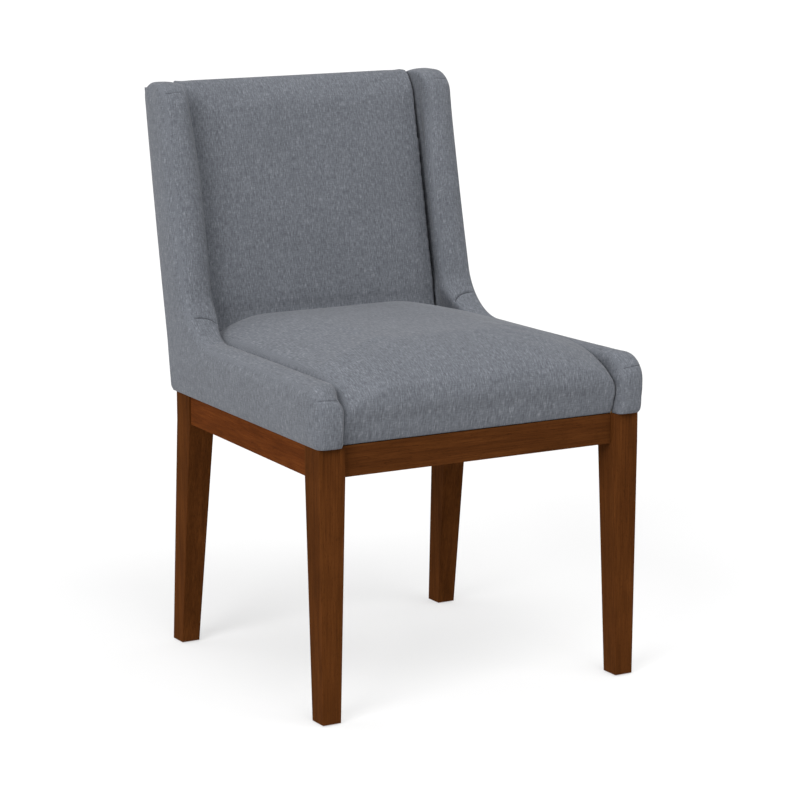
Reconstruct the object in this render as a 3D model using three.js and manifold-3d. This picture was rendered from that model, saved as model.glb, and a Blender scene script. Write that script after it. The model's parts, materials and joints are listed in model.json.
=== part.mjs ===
// A parsons dining chair. An upholstered shell, with a tight crowned seat between two
// L-shaped wing panels, is bolted to a tapered hardwood leg frame.
// Millimetres, +Z up. The chair faces -Y, and left and right are as seen from the front.

import * as THREE from 'three';
import { mergeVertices } from 'three/addons/utils/BufferGeometryUtils.js';
import Module from 'manifold-3d';

const wasm = await Module();
wasm.setup();

const { lerp, clamp } = THREE.MathUtils;

// Working clearance between pieces, and how far a cutting tool runs past a face
const gap = 0.3;
const overrun = 40;

// Leg frame: its plan narrows to the back, and y is zero at the front faces of the front legs
const frontWidth = 501.5;
const rearWidth = 466.5;
const frameDepth = 461.5;
const frameTop = 376;
const legWidth = 39.5;
const frontLegDepth = 40.5;
const rearLegDepth = 41.5;
const footWidth = 27.5;
const footDepth = 30.5;
const frontFootInset = 3.8;
const frontFootSetback = 1;
const rearFootInset = 2.5;
const rearFootKick = 29;
const legEdgeRadius = 1.2;

// Rails, tenoned into the legs
const railHeight = 42;
const railThickness = 22;
const frontRailSetback = 8.6;
const sideRailSetback = 2;
const rearRailSetback = 2;
const tenonThickness = 9;
const tenonLength = 18;
const tenonShoulder = 6;

// Corner blocks and the fasteners of the leg frame
const blockReach = 55;
const blockDepth = 20;
const blockLand = 20;
const blockHeight = 26;
const screwShankRadius = 2;
const screwHeadRadius = 4;
const screwHeadHeight = 2.4;
const screwLength = 32;
const boltShankRadius = 3;
const boltHeadRadius = 6.5;
const boltHeadHeight = 4;
const boltBite = 14;
const boltInset = 14;
const boltFromRail = 18;
const glideRadius = 9;
const glideThickness = 1.5;
const glideStemRadius = 1.6;
const glideStemLength = 12;

// Wing panels: a plywood core in a padded cover, L-shaped from the side
const panelThickness = 43.5;
const panelProud = 5.3;
const panelFrontOverhang = 10.5;
const panelRearOverhang = 7.5;
const coreThickness = 18;
const borderPad = 14;
const rearEdgePad = 3;
const armHeight = 83;
const wingHeight = 435.3;
const uprightDepth = 74.5;
const armCornerRadius = 34;
const wingCornerRadius = 36;
const wingRearCornerRadius = 20;
const sweepRadius = 82;
const edgeRadius = 13;
const cornerBlend = 0.5;
const bottomTrim = 3;
const rearTrim = 6;
const leastCornerRadius = 1;

// Back: everything in it follows one raked and slightly bowed rear line
const rakeAngle = THREE.MathUtils.degToRad(11.2);
const backBow = 3;
const outsideBackThickness = 4;
const outsideBackInset = 3;
const outsideBackTopDrop = 8;
const backRailThickness = 18;
const backRailHeight = 45;
const backCushionThickness = 33.7;
const backCushionDrop = 2.3;
const backWall = 6;
const backCrown = 8;
const backCrownRise = 20;
const backEdgeRoll = 8;
const backEdgeReach = 14;
const backTopRoll = 18;
const backTopReach = 32;

// Seat: a frame on the leg frame, webbing, foam and a crowned cover
const seatFrameThickness = 20;
const seatFrameSetback = 12;
const seatFrameEndWidth = 60;
const seatFrameSideWidth = 45;
const seatHeight = 119;
const seatOverhang = 3;
const seatWall = 8;
const seatTuck = 4;
const seatSideDrop = 31;
const seatSideReach = 95;
const seatFrontDrop = 48;
const seatFrontReach = 110;
const seatRearDrop = 15;
const seatRearReach = 200;
const rollPower = 1.5;
const settlePasses = 4;

// Webbing
const strapWidth = 50;
const strapThickness = 1.5;
const strapFlatMargin = 5;
const strapLap = 32;
const lengthwiseStraps = 4;
const crosswiseStraps = 3;
const backStraps = 3;

// Dust cover under the seat
const dustCoverThickness = 1;

// Facets
const curveSteps = 8;
const bevelSteps = 4;
const roundSteps = 14;
const seatSegments = [16, 16, 3];
const seatFoamSegments = [8, 8, 2];
const backSegments = [14, 2, 14];
const bowSteps = 6;

// Places worked out from the sizes above
const planAngle = Math.atan2((frontWidth - rearWidth) / 2, frameDepth);
const railBottom = frameTop - railHeight;
const footBottom = glideThickness + gap;
const shellBottom = frameTop + gap;
const armTop = frameTop + armHeight;
const wingTop = frameTop + wingHeight;
const frontLegInnerX = frontWidth / 2 - legWidth;
const rearLegInnerX = rearWidth / 2 - legWidth;
const rearLegFront = frameDepth - rearLegDepth;
const frontRailInner = frontRailSetback + railThickness;
const rearRailRear = frameDepth - rearRailSetback;
const rearRailInner = rearRailRear - railThickness;
const coreInset = (panelThickness - coreThickness) / 2;
const seatFrameBottom = shellBottom;
const seatFrameTop = seatFrameBottom + seatFrameThickness;
const strapLift = (strapThickness + gap) / 2;
const strapCentre = seatFrameTop + gap + strapThickness / 2;
const deckTop = strapCentre + strapLift + strapThickness / 2;
const backFrameRear = outsideBackThickness + gap;
const backFrameFront = backFrameRear + backRailThickness;
const backStrapRear = backFrameFront + gap;
const backStrapFront = backStrapRear + strapThickness;
const backTop = wingTop - backCushionDrop;
const backTopRailTop = backTop - backWall - gap - backRailThickness / 2;
const seatTop = frameTop + seatHeight;
const seatRearTop = seatTop - seatRearDrop;

// The rear line of the chair at a height, and the three faces that run back along the wings
function rearLine(z) {
  const share = clamp((z - frameTop) / wingHeight, 0, 1);
  const bow = backBow * 4 * share * (1 - share);
  return frameDepth + panelRearOverhang + Math.tan(rakeAngle) * (z - frameTop) + bow;
}

function panelOuterX(y) {
  return frontWidth / 2 + panelProud - y * Math.tan(planAngle);
}

function panelInnerX(y) {
  return panelOuterX(y) - panelThickness / Math.cos(planAngle);
}

function coreInnerX(y) {
  return panelOuterX(y) - (coreInset + coreThickness) / Math.cos(planAngle);
}

// The inner face of a side rail, which runs from a front leg to a rear leg
function sideRailOuterX(y) {
  const share = (y - frontLegDepth) / (rearLegFront - frontLegDepth);
  return lerp(frontWidth / 2, rearWidth / 2, share) - sideRailSetback;
}

function sideRailInnerX(y) {
  return sideRailOuterX(y) - railThickness;
}

// Solids: cutting, joining and mirroring closed meshes
function bareMesh(geometry) {
  const bare = geometry.clone();
  bare.deleteAttribute('normal');
  bare.deleteAttribute('uv');
  return mergeVertices(bare);
}

function toSolid(geometry) {
  const bare = bareMesh(geometry);
  const vertProperties = new Float32Array(bare.attributes.position.array);
  const triVerts = new Uint32Array(bare.index.array);
  return new wasm.Manifold(new wasm.Mesh({ numProp: 3, vertProperties, triVerts }));
}

function toGeometry(solid) {
  const mesh = solid.getMesh();
  const geometry = new THREE.BufferGeometry();
  const vertices = new Float32Array(mesh.vertProperties);
  geometry.setAttribute('position', new THREE.BufferAttribute(vertices, 3));
  geometry.setIndex(new THREE.BufferAttribute(new Uint32Array(mesh.triVerts), 1));
  geometry.computeVertexNormals();
  return geometry;
}

function cut(geometry, ...tools) {
  let solid = toSolid(geometry);
  for (const tool of tools) {
    solid = solid.subtract(toSolid(tool));
  }
  return toGeometry(solid);
}

function join(first, ...others) {
  let solid = toSolid(first);
  for (const other of others) {
    solid = solid.add(toSolid(other));
  }
  return toGeometry(solid);
}

function common(first, second) {
  return toGeometry(toSolid(first).intersect(toSolid(second)));
}

function mirrored(geometry) {
  const twin = bareMesh(geometry);
  twin.scale(-1, 1, 1);
  const index = twin.index.array;
  for (let i = 0; i < index.length; i += 3) {
    const second = index[i + 1];
    index[i + 1] = index[i + 2];
    index[i + 2] = second;
  }
  twin.computeVertexNormals();
  return twin;
}

// Basic shapes, given by the faces that bound them
function block(x0, x1, y0, y1, z0, z1) {
  const geometry = new THREE.BoxGeometry(x1 - x0, y1 - y0, z1 - z0);
  return geometry.translate((x0 + x1) / 2, (y0 + y1) / 2, (z0 + z1) / 2);
}

function prism(points, z0, z1) {
  const shape = new THREE.Shape(points.map(([x, y]) => new THREE.Vector2(x, y)));
  const geometry = new THREE.ExtrudeGeometry(shape, { depth: z1 - z0, bevelEnabled: false });
  return geometry.translate(0, 0, z0);
}

// A side-view shape, drawn in y and z, given its thickness along x
function acrossX(shape, x0, x1, bevel = 0) {
  const geometry = new THREE.ExtrudeGeometry(shape, {
    depth: x1 - x0 - 2 * bevel,
    curveSegments: curveSteps,
    bevelEnabled: bevel > 0,
    bevelThickness: bevel,
    bevelSize: bevel,
    bevelOffset: -bevel,
    bevelSegments: bevelSteps,
  });
  const alongY = new THREE.Vector3(0, 1, 0);
  const alongZ = new THREE.Vector3(0, 0, 1);
  const alongX = new THREE.Vector3(1, 0, 0);
  geometry.applyMatrix4(new THREE.Matrix4().makeBasis(alongY, alongZ, alongX));
  return geometry.translate(x0 + bevel, 0, 0);
}

// A strip between two heights of y that ends at the same limit on both sides
function planStrip(y0, y1, limit, z0, z1) {
  const corners = [[-limit(y0), y0], [limit(y0), y0], [limit(y1), y1], [-limit(y1), y1]];
  return prism(corners, z0, z1);
}

// A closed outline whose corners are arcs of the radius given with each corner
function roundedShape(corners) {
  const shape = new THREE.Shape();
  corners.forEach(({ y, z, radius }, i) => {
    const corner = new THREE.Vector2(y, z);
    if (radius === 0) {
      shape.lineTo(y, z);
      return;
    }
    const before = corners.at(i - 1);
    const after = corners[(i + 1) % corners.length];
    const back = new THREE.Vector2(before.y, before.z).sub(corner).normalize();
    const ahead = new THREE.Vector2(after.y, after.z).sub(corner).normalize();
    const half = Math.acos(back.dot(ahead)) / 2;
    const start = corner.clone().addScaledVector(back, radius / Math.tan(half));
    const end = corner.clone().addScaledVector(ahead, radius / Math.tan(half));
    const middle = back.clone().add(ahead).normalize();
    const centre = corner.clone().addScaledVector(middle, radius / Math.sin(half));
    const startAngle = start.clone().sub(centre).angle();
    const endAngle = end.clone().sub(centre).angle();
    if (i === 0) {
      shape.moveTo(start.x, start.y);
    }
    shape.absarc(centre.x, centre.y, radius, startAngle, endAngle, back.cross(ahead) > 0);
  });
  return shape;
}

// A unit cube whose vertices are placed by a formula, with more of them near its edges
function formed(segments, place) {
  const form = new THREE.BoxGeometry(2, 2, 2, ...segments);
  const position = form.attributes.position;
  for (let i = 0; i < position.count; i += 1) {
    const placed = place(position.getX(i), position.getY(i), position.getZ(i));
    position.setXYZ(i, placed.x, placed.y, placed.z);
  }
  form.computeVertexNormals();
  return form;
}

function spread(share) {
  return Math.sin((share * Math.PI) / 2);
}

// How far a rolled edge has dropped, as a share, at a share of its reach from the edge
function roll(share) {
  const rest = 1 - clamp(share, 0, 1);
  return 1 - (1 - rest ** rollPower) ** (1 / rollPower);
}

// Materials
function finish(color, roughness, metalness = 0) {
  return new THREE.MeshStandardMaterial({ color, roughness, metalness });
}

const stainedWood = finish('#5a3118', 0.45);
const plainWood = finish('#b08a5c', 0.7);
const plywood = finish('#c3a374', 0.75);
const wovenFabric = finish('#767a84', 0.95);
const paleFoam = finish('#ddd5bd', 0.95);
const darkWebbing = finish('#2b2b2e', 0.9);
const blackCloth = finish('#1d1d1f', 0.95);
const zincSteel = finish('#a8abad', 0.4, 0.9);
const blackNylon = finish('#222222', 0.6);

const chair = new THREE.Group();

function add(name, geometry, material, parent = chair) {
  const mesh = new THREE.Mesh(geometry, material);
  mesh.name = name;
  parent.add(mesh);
  return mesh;
}

// Legs: square under the shell, tapered below the rails, with rounded long edges
function legBlank(top, foot) {
  const width = top.x1 - top.x0;
  const depth = top.y1 - top.y0;
  const outline = roundedShape([
    { y: 0, z: 0, radius: legEdgeRadius },
    { y: width, z: 0, radius: legEdgeRadius },
    { y: width, z: depth, radius: legEdgeRadius },
    { y: 0, z: depth, radius: legEdgeRadius },
  ]);
  const levels = [footBottom, railBottom, frameTop];
  const sections = [foot, top, top];
  const steps = levels.length - 1;
  const settings = { depth: steps, steps, curveSegments: 2, bevelEnabled: false };
  const geometry = new THREE.ExtrudeGeometry(outline, settings);
  const position = geometry.attributes.position;
  for (let i = 0; i < position.count; i += 1) {
    const station = Math.round(position.getZ(i));
    const section = sections[station];
    const x = lerp(section.x0, section.x1, position.getX(i) / width);
    const y = lerp(section.y0, section.y1, position.getY(i) / depth);
    position.setXYZ(i, x, y, levels[station]);
  }
  geometry.computeVertexNormals();
  return geometry;
}

function tenonHeights(allowance) {
  return [railBottom + tenonShoulder - allowance, frameTop - tenonShoulder + allowance];
}

function glideHole(foot) {
  const radius = glideStemRadius + gap;
  const depth = glideStemLength + gap;
  const hole = new THREE.CylinderGeometry(radius, radius, depth + overrun, roundSteps);
  hole.rotateX(Math.PI / 2);
  const centreZ = glideThickness + depth - (depth + overrun) / 2;
  return hole.translate((foot.x0 + foot.x1) / 2, (foot.y0 + foot.y1) / 2, centreZ);
}

// A mortise for an end rail, open to the leg's inner face, and one for a side rail
function endMortise(innerX, railCentreY) {
  const y0 = railCentreY - tenonThickness / 2 - gap;
  const y1 = railCentreY + tenonThickness / 2 + gap;
  const x1 = innerX + tenonLength + gap;
  return block(innerX - overrun, x1, y0, y1, ...tenonHeights(gap));
}

function sideMortise(outerX, faceY, inward) {
  const centreX = outerX - sideRailSetback - railThickness / 2;
  const ends = [faceY - inward * (tenonLength + gap), faceY + inward * overrun];
  const x0 = centreX - tenonThickness / 2 - gap;
  const x1 = centreX + tenonThickness / 2 + gap;
  return block(x0, x1, Math.min(...ends), Math.max(...ends), ...tenonHeights(gap));
}

const frontLegTop = { x0: frontLegInnerX, x1: frontWidth / 2, y0: 0, y1: frontLegDepth };
const frontFoot = {
  x0: frontWidth / 2 - frontFootInset - footWidth,
  x1: frontWidth / 2 - frontFootInset,
  y0: frontFootSetback,
  y1: frontFootSetback + footDepth,
};
const rearLegTop = { x0: rearLegInnerX, x1: rearWidth / 2, y0: rearLegFront, y1: frameDepth };
const rearFoot = {
  x0: rearWidth / 2 - rearFootInset - footWidth,
  x1: rearWidth / 2 - rearFootInset,
  y0: frameDepth + rearFootKick - footDepth,
  y1: frameDepth + rearFootKick,
};

function frontLeg() {
  return cut(
    legBlank(frontLegTop, frontFoot),
    endMortise(frontLegInnerX, frontRailInner - railThickness / 2),
    sideMortise(frontWidth / 2, frontLegDepth, 1),
    glideHole(frontFoot),
  );
}

function rearLeg() {
  return cut(
    legBlank(rearLegTop, rearFoot),
    endMortise(rearLegInnerX, rearRailInner + railThickness / 2),
    sideMortise(rearWidth / 2, rearLegFront, -1),
    glideHole(rearFoot),
  );
}

add('front_right_leg', frontLeg(), stainedWood);
add('front_left_leg', mirrored(frontLeg()), stainedWood);
add('rear_right_leg', rearLeg(), stainedWood);
add('rear_left_leg', mirrored(rearLeg()), stainedWood);

// Nylon glides: a pad with a driven stem
function glide() {
  const profile = [
    new THREE.Vector2(0, 0),
    new THREE.Vector2(glideRadius - glideThickness / 2, 0),
    new THREE.Vector2(glideRadius, glideThickness / 2),
    new THREE.Vector2(glideRadius, glideThickness),
    new THREE.Vector2(glideStemRadius, glideThickness),
    new THREE.Vector2(glideStemRadius, glideThickness + glideStemLength),
    new THREE.Vector2(0, glideThickness + glideStemLength),
  ];
  return new THREE.LatheGeometry(profile, roundSteps).rotateX(Math.PI / 2);
}

function addGlides(end, foot) {
  for (const [side, sign] of [['left', -1], ['right', 1]]) {
    const mesh = add(`${end}_${side}_glide`, glide(), blackNylon);
    mesh.position.set((sign * (foot.x0 + foot.x1)) / 2, (foot.y0 + foot.y1) / 2, 0);
  }
}

addGlides('front', frontFoot);
addGlides('rear', rearFoot);

// Fasteners: each points along +Z from the underside of its head
function countersunkScrew(allowance = 0) {
  const shank = screwShankRadius + allowance;
  const head = screwHeadRadius + allowance;
  const profile = [
    new THREE.Vector2(0, -allowance),
    new THREE.Vector2(head, -allowance),
    new THREE.Vector2(shank, screwHeadHeight + allowance),
    new THREE.Vector2(shank, screwLength + allowance),
    new THREE.Vector2(0, screwLength + allowance),
  ];
  return new THREE.LatheGeometry(profile, roundSteps).rotateX(Math.PI / 2);
}

const boltLength = blockHeight + gap + boltBite;

function frameBolt() {
  const profile = [
    new THREE.Vector2(0, -boltHeadHeight),
    new THREE.Vector2(boltHeadRadius - boltHeadHeight / 2, -boltHeadHeight),
    new THREE.Vector2(boltHeadRadius, -boltHeadHeight / 2),
    new THREE.Vector2(boltHeadRadius, 0),
    new THREE.Vector2(boltShankRadius, 0),
    new THREE.Vector2(boltShankRadius, boltLength),
    new THREE.Vector2(0, boltLength),
  ];
  return new THREE.LatheGeometry(profile, roundSteps).rotateX(Math.PI / 2);
}

function boltHole(x, y) {
  const radius = boltShankRadius + gap;
  const from = frameTop - blockHeight - overrun;
  const to = frameTop + boltBite + gap;
  const hole = new THREE.CylinderGeometry(radius, radius, to - from, roundSteps);
  return hole.rotateX(Math.PI / 2).translate(x, y, (from + to) / 2);
}

// Corner blocks: each hugs a leg's inner corner, with a flat land for a screw on each arm
const frontCorner = {
  legX: frontLegInnerX, legY: frontLegDepth, railY: frontRailInner, inward: 1,
};
const rearCorner = {
  legX: rearLegInnerX, legY: rearLegFront, railY: rearRailInner, inward: -1,
};

function blockPlan({ legX, legY, railY, inward }) {
  const railFace = railY + inward * gap;
  const legFace = legY + inward * gap;
  const armEnd = legY + inward * blockReach;
  const landEnd = armEnd - inward * blockLand;
  const sideFace = (y) => sideRailInnerX(y) - gap;
  return [
    [legX - gap, railFace],
    [legX - blockReach, railFace],
    [legX - blockReach, railFace + inward * blockDepth],
    [legX - blockReach + blockLand, railFace + inward * blockDepth],
    [sideFace(armEnd) - blockDepth, landEnd],
    [sideFace(armEnd) - blockDepth, armEnd],
    [sideFace(armEnd), armEnd],
    [sideFace(legFace), legFace],
    [legX - gap, legFace],
  ];
}

// Where the two screws and the bolt of a corner go, on the right-hand side
function cornerFasteners({ legX, legY, railY, inward }) {
  const screwY = legY + inward * (blockReach - blockLand / 2);
  const armEnd = legY + inward * blockReach;
  return {
    endScrew: {
      x: legX - blockReach + blockLand / 2,
      y: railY + inward * (gap + blockDepth),
      turn: new THREE.Euler((inward * Math.PI) / 2, 0, 0),
    },
    sideScrew: {
      x: sideRailInnerX(armEnd) - gap - blockDepth,
      y: screwY,
      turn: new THREE.Euler(0, Math.PI / 2, 0),
    },
    bolt: { x: legX - boltInset, y: railY + inward * boltFromRail },
  };
}

const screwZ = frameTop - blockHeight / 2;

function screwHole({ x, y, turn }) {
  const place = new THREE.Matrix4().makeRotationFromEuler(turn).setPosition(x, y, screwZ);
  const sunk = countersunkScrew(gap);
  const mouthRadius = screwHeadRadius + gap;
  const mouth = new THREE.CylinderGeometry(mouthRadius, mouthRadius, overrun, roundSteps);
  mouth.rotateX(Math.PI / 2).translate(0, 0, -gap - overrun / 2 + gap / 2);
  return join(sunk, mouth).applyMatrix4(place);
}

function cornerBlock(corner) {
  const { endScrew, sideScrew, bolt } = cornerFasteners(corner);
  return cut(
    prism(blockPlan(corner), frameTop - blockHeight, frameTop),
    screwHole(endScrew),
    screwHole(sideScrew),
    boltHole(bolt.x, bolt.y),
  );
}

function addScrew(name, { x, y, turn }, sign) {
  const mesh = add(name, countersunkScrew(), zincSteel);
  mesh.position.set(sign * x, y, screwZ);
  mesh.rotation.set(turn.x, sign * turn.y, turn.z);
}

function addCorner(end, corner) {
  const { endScrew, sideScrew, bolt } = cornerFasteners(corner);
  for (const [side, sign] of [['left', -1], ['right', 1]]) {
    const solid = cornerBlock(corner);
    const name = `${end}_${side}`;
    add(`${name}_corner_block`, sign < 0 ? mirrored(solid) : solid, plainWood);
    addScrew(`${name}_block_screw_end_rail`, endScrew, sign);
    addScrew(`${name}_block_screw_side_rail`, sideScrew, sign);
    const mesh = add(`${name}_frame_bolt`, frameBolt(), zincSteel);
    mesh.position.set(sign * bolt.x, bolt.y, frameTop - blockHeight - gap);
  }
}

addCorner('front', frontCorner);
addCorner('rear', rearCorner);

// Rails, each one piece with its two tenons
function endRail(innerX, y0, corner) {
  const body = innerX - gap;
  const reach = innerX + tenonLength;
  const centreY = y0 + railThickness / 2;
  const [tenonBottom, tenonTop] = tenonHeights(0);
  const tenonY = [centreY - tenonThickness / 2, centreY + tenonThickness / 2];
  const rail = join(
    block(-body, body, y0, y0 + railThickness, railBottom, frameTop),
    block(-reach, reach, ...tenonY, tenonBottom, tenonTop),
  );
  const hole = screwHole(cornerFasteners(corner).endScrew);
  return cut(rail, hole, mirrored(hole));
}

function sideRail() {
  const front = frontLegDepth + gap;
  const rear = rearLegFront - gap;
  const plan = [
    [sideRailInnerX(front), front],
    [sideRailOuterX(front), front],
    [sideRailOuterX(rear), rear],
    [sideRailInnerX(rear), rear],
  ];
  const [tenonBottom, tenonTop] = tenonHeights(0);
  const tenon = (outerX, y0, y1) => {
    const centreX = outerX - sideRailSetback - railThickness / 2;
    const x0 = centreX - tenonThickness / 2;
    return block(x0, x0 + tenonThickness, y0, y1, tenonBottom, tenonTop);
  };
  const rail = join(
    prism(plan, railBottom, frameTop),
    tenon(frontWidth / 2, frontLegDepth - tenonLength, front + tenonShoulder),
    tenon(rearWidth / 2, rear - tenonShoulder, rearLegFront + tenonLength),
  );
  return cut(
    rail,
    screwHole(cornerFasteners(frontCorner).sideScrew),
    screwHole(cornerFasteners(rearCorner).sideScrew),
  );
}

add('front_rail', endRail(frontLegInnerX, frontRailSetback, frontCorner), stainedWood);
add('rear_rail', endRail(rearLegInnerX, rearRailInner, rearCorner), stainedWood);
add('right_side_rail', sideRail(), stainedWood);
add('left_side_rail', mirrored(sideRail()), stainedWood);

// Wing panels, drawn with x zero at the outer face and turned by the plan angle
function wingShape(inset, rearInset, bottom) {
  const convex = (radius) => Math.max(radius - inset, leastCornerRadius);
  const edge = convex(edgeRadius + cornerBlend);
  const rearY = (z) => rearLine(z) - backFrameRear - rearInset;
  const frontY = (z) => frameDepth + panelRearOverhang + Math.tan(rakeAngle) * (z - frameTop)
    - uprightDepth + inset;
  const front = -panelFrontOverhang + inset;
  const top = wingTop - inset;
  const corners = [
    { y: front, z: bottom, radius: edge },
    { y: rearY(bottom), z: bottom, radius: edge },
  ];
  for (let i = 1; i < bowSteps; i += 1) {
    const z = lerp(frameTop, wingTop, i / bowSteps);
    corners.push({ y: rearY(z), z, radius: 0 });
  }
  corners.push(
    { y: rearY(top), z: top, radius: convex(wingRearCornerRadius) },
    { y: frontY(top), z: top, radius: convex(wingCornerRadius) },
    { y: frontY(armTop - inset), z: armTop - inset, radius: sweepRadius + inset },
    { y: front, z: armTop - inset, radius: convex(armCornerRadius) },
  );
  return roundedShape(corners);
}

// A slab that follows the rear line between two heights, from one depth in it to another
function backShape(z0, z1, rearDepth, frontDepth) {
  const shape = new THREE.Shape();
  for (let i = 0; i <= bowSteps; i += 1) {
    const z = lerp(z0, z1, i / bowSteps);
    shape.lineTo(rearLine(z) - rearDepth, z);
  }
  for (let i = bowSteps; i >= 0; i -= 1) {
    const z = lerp(z0, z1, i / bowSteps);
    shape.lineTo(rearLine(z) - frontDepth, z);
  }
  shape.curves.shift();
  return shape;
}

const coreInnerLocal = -(coreInset + coreThickness);

function wingCore() {
  const shape = wingShape(borderPad, rearEdgePad, shellBottom);
  return acrossX(shape, coreInnerLocal, -coreInset);
}

function wingCover() {
  const below = frameTop - overrun;
  const above = wingTop + overrun;
  const body = acrossX(
    wingShape(0, -rearTrim, shellBottom - bottomTrim), -panelThickness, 0, edgeRadius,
  );
  const cavity = acrossX(
    wingShape(borderPad - gap, rearEdgePad - gap, below), coreInnerLocal - gap, gap - coreInset,
  );
  const beyond = -panelThickness - overrun;
  const rearFace = rearLine(wingTop) + overrun;
  const underside = block(beyond, overrun, -overrun, rearFace, below - overrun, shellBottom);
  const rearTool = backShape(below, above, -overrun, backFrameRear);
  const backFrameTool = backShape(below, backTopRailTop + gap, 0, backStrapFront);
  const seatFrameTool = block(
    beyond, coreInnerLocal, seatFrameSetback - gap, rearFace, below, deckTop,
  );
  return cut(
    body,
    cavity,
    underside,
    acrossX(rearTool, beyond, overrun),
    acrossX(backFrameTool, beyond, coreInnerLocal),
    seatFrameTool,
  );
}

function addWing(side, sign) {
  const wing = new THREE.Group();
  wing.position.set(sign * panelOuterX(0), 0, 0);
  wing.rotation.z = sign * planAngle;
  chair.add(wing);
  const core = wingCore();
  const cover = wingCover();
  add(`${side}_wing_core`, sign < 0 ? mirrored(core) : core, plywood, wing);
  add(`${side}_wing_cover`, sign < 0 ? mirrored(cover) : cover, wovenFabric, wing);
}

addWing('right', 1);
addWing('left', -1);

// Seat frame: four flat rails between the wing cores, bolted down through the corner blocks
const frameLimit = (y) => coreInnerX(y) - gap;
const seatFrameRear = rearLine(shellBottom) - backFrameRear - gap;
const sideRailStart = seatFrameSetback + seatFrameEndWidth + gap;
const sideRailEnd = seatFrameRear - seatFrameEndWidth - gap;

function seatFrameEnd(y0, corner) {
  const strip = planStrip(y0, y0 + seatFrameEndWidth, frameLimit, seatFrameBottom, seatFrameTop);
  const { bolt } = cornerFasteners(corner);
  return cut(strip, boltHole(bolt.x, bolt.y), boltHole(-bolt.x, bolt.y));
}

function seatFrameSide() {
  const plan = [
    [frameLimit(sideRailStart) - seatFrameSideWidth, sideRailStart],
    [frameLimit(sideRailStart), sideRailStart],
    [frameLimit(sideRailEnd), sideRailEnd],
    [frameLimit(sideRailEnd) - seatFrameSideWidth, sideRailEnd],
  ];
  return prism(plan, seatFrameBottom, seatFrameTop);
}

add('seat_frame_front', seatFrameEnd(seatFrameSetback, frontCorner), plainWood);
add('seat_frame_rear', seatFrameEnd(seatFrameRear - seatFrameEndWidth, rearCorner), plainWood);
add('seat_frame_right', seatFrameSide(), plainWood);
add('seat_frame_left', mirrored(seatFrameSide()), plainWood);

// Seat webbing, woven over and under where the straps cross
function strapGeometry(start, end, crossings) {
  const flat = strapWidth / 2 + strapFlatMargin;
  const stations = [[start, 0], [start + strapLap, 0]];
  for (const { at, over } of crossings) {
    const lift = over ? strapLift : -strapLift;
    stations.push([at - flat, lift], [at + flat, lift]);
  }
  stations.push([end - strapLap, 0], [end, 0]);
  const lower = stations.map(([s, z]) => new THREE.Vector2(s, z - strapThickness / 2));
  const upper = stations.map(([s, z]) => new THREE.Vector2(s, z + strapThickness / 2));
  const shape = new THREE.Shape([...lower, ...upper.reverse()]);
  return acrossX(shape, -strapWidth / 2, strapWidth / 2);
}

const lengthwiseSpan = 2 * (frameLimit(sideRailEnd) - seatFrameSideWidth);
const lengthwisePitch = lengthwiseSpan / lengthwiseStraps;
const crosswisePitch = (sideRailEnd - sideRailStart) / crosswiseStraps;
const strapX = (i) => (i + 1 / 2 - lengthwiseStraps / 2) * lengthwisePitch;
const strapY = (j) => sideRailStart + (j + 1 / 2) * crosswisePitch;
const isOver = (i, j) => (i + j) % 2 === 0;
const indices = (count) => Array.from({ length: count }, (_, i) => i);

for (const i of indices(lengthwiseStraps)) {
  const crossings = indices(crosswiseStraps).map((j) => ({ at: strapY(j), over: isOver(i, j) }));
  const geometry = strapGeometry(sideRailStart - strapLap, sideRailEnd + strapLap, crossings);
  const strap = add(`seat_webbing_lengthwise_${i + 1}`, geometry, darkWebbing);
  strap.position.set(strapX(i), 0, strapCentre);
}

for (const j of indices(crosswiseStraps)) {
  const reach = frameLimit(strapY(j)) - seatFrameSideWidth + strapLap;
  const crossings = indices(lengthwiseStraps).map((i) => ({ at: strapX(i), over: !isOver(i, j) }));
  const strap = add(
    `seat_webbing_crosswise_${j + 1}`, strapGeometry(-reach, reach, crossings), darkWebbing,
  );
  strap.rotation.z = -Math.PI / 2;
  strap.position.set(0, strapY(j), strapCentre);
}

// The front face of the back cushion, without its crown, which the seat meets
function backFrontY(z) {
  return rearLine(z) - backFrameRear - backCushionThickness;
}

// Seat cushion: a crowned top with rolled sides and a waterfall front, drawn in at its foot
function seatForm(segments, inset, bottom) {
  const front = -seatOverhang + inset;
  const halfWidth = (y) => panelInnerX(y) - gap - inset;
  return formed(segments, (u, v, w) => {
    const height = (w + 1) / 2;
    const settle = (z) => {
      const frontHere = front + seatTuck * clamp((armTop - z) / armHeight, 0, 1) ** 2;
      const rearHere = backFrontY(z) - gap - inset;
      const y = lerp(frontHere, rearHere, (spread(v) + 1) / 2);
      const x = spread(u) * halfWidth(y);
      const drop = seatSideDrop * roll((halfWidth(y) - Math.abs(x)) / seatSideReach)
        + seatFrontDrop * roll((y - frontHere) / seatFrontReach)
        + seatRearDrop * roll((rearHere - y) / seatRearReach);
      return new THREE.Vector3(x, y, lerp(bottom, seatTop - inset - drop, height));
    };
    let point = settle(lerp(bottom, seatRearTop - inset, height));
    for (let pass = 0; pass < settlePasses; pass += 1) {
      point = settle(point.z);
    }
    return point;
  });
}

function seatCover() {
  const wide = (y) => panelOuterX(y) + overrun;
  const behind = rearLine(wingTop) + overrun;
  const below = frameTop - overrun;
  return cut(
    seatForm(seatSegments, 0, shellBottom),
    seatForm(seatSegments, seatWall, deckTop - gap),
    planStrip(seatFrameSetback - gap, behind, wide, below, deckTop),
  );
}

add('seat_foam', seatForm(seatFoamSegments, seatWall + gap, deckTop + gap), paleFoam);
add('seat_cover', seatCover(), wovenFabric);

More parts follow.
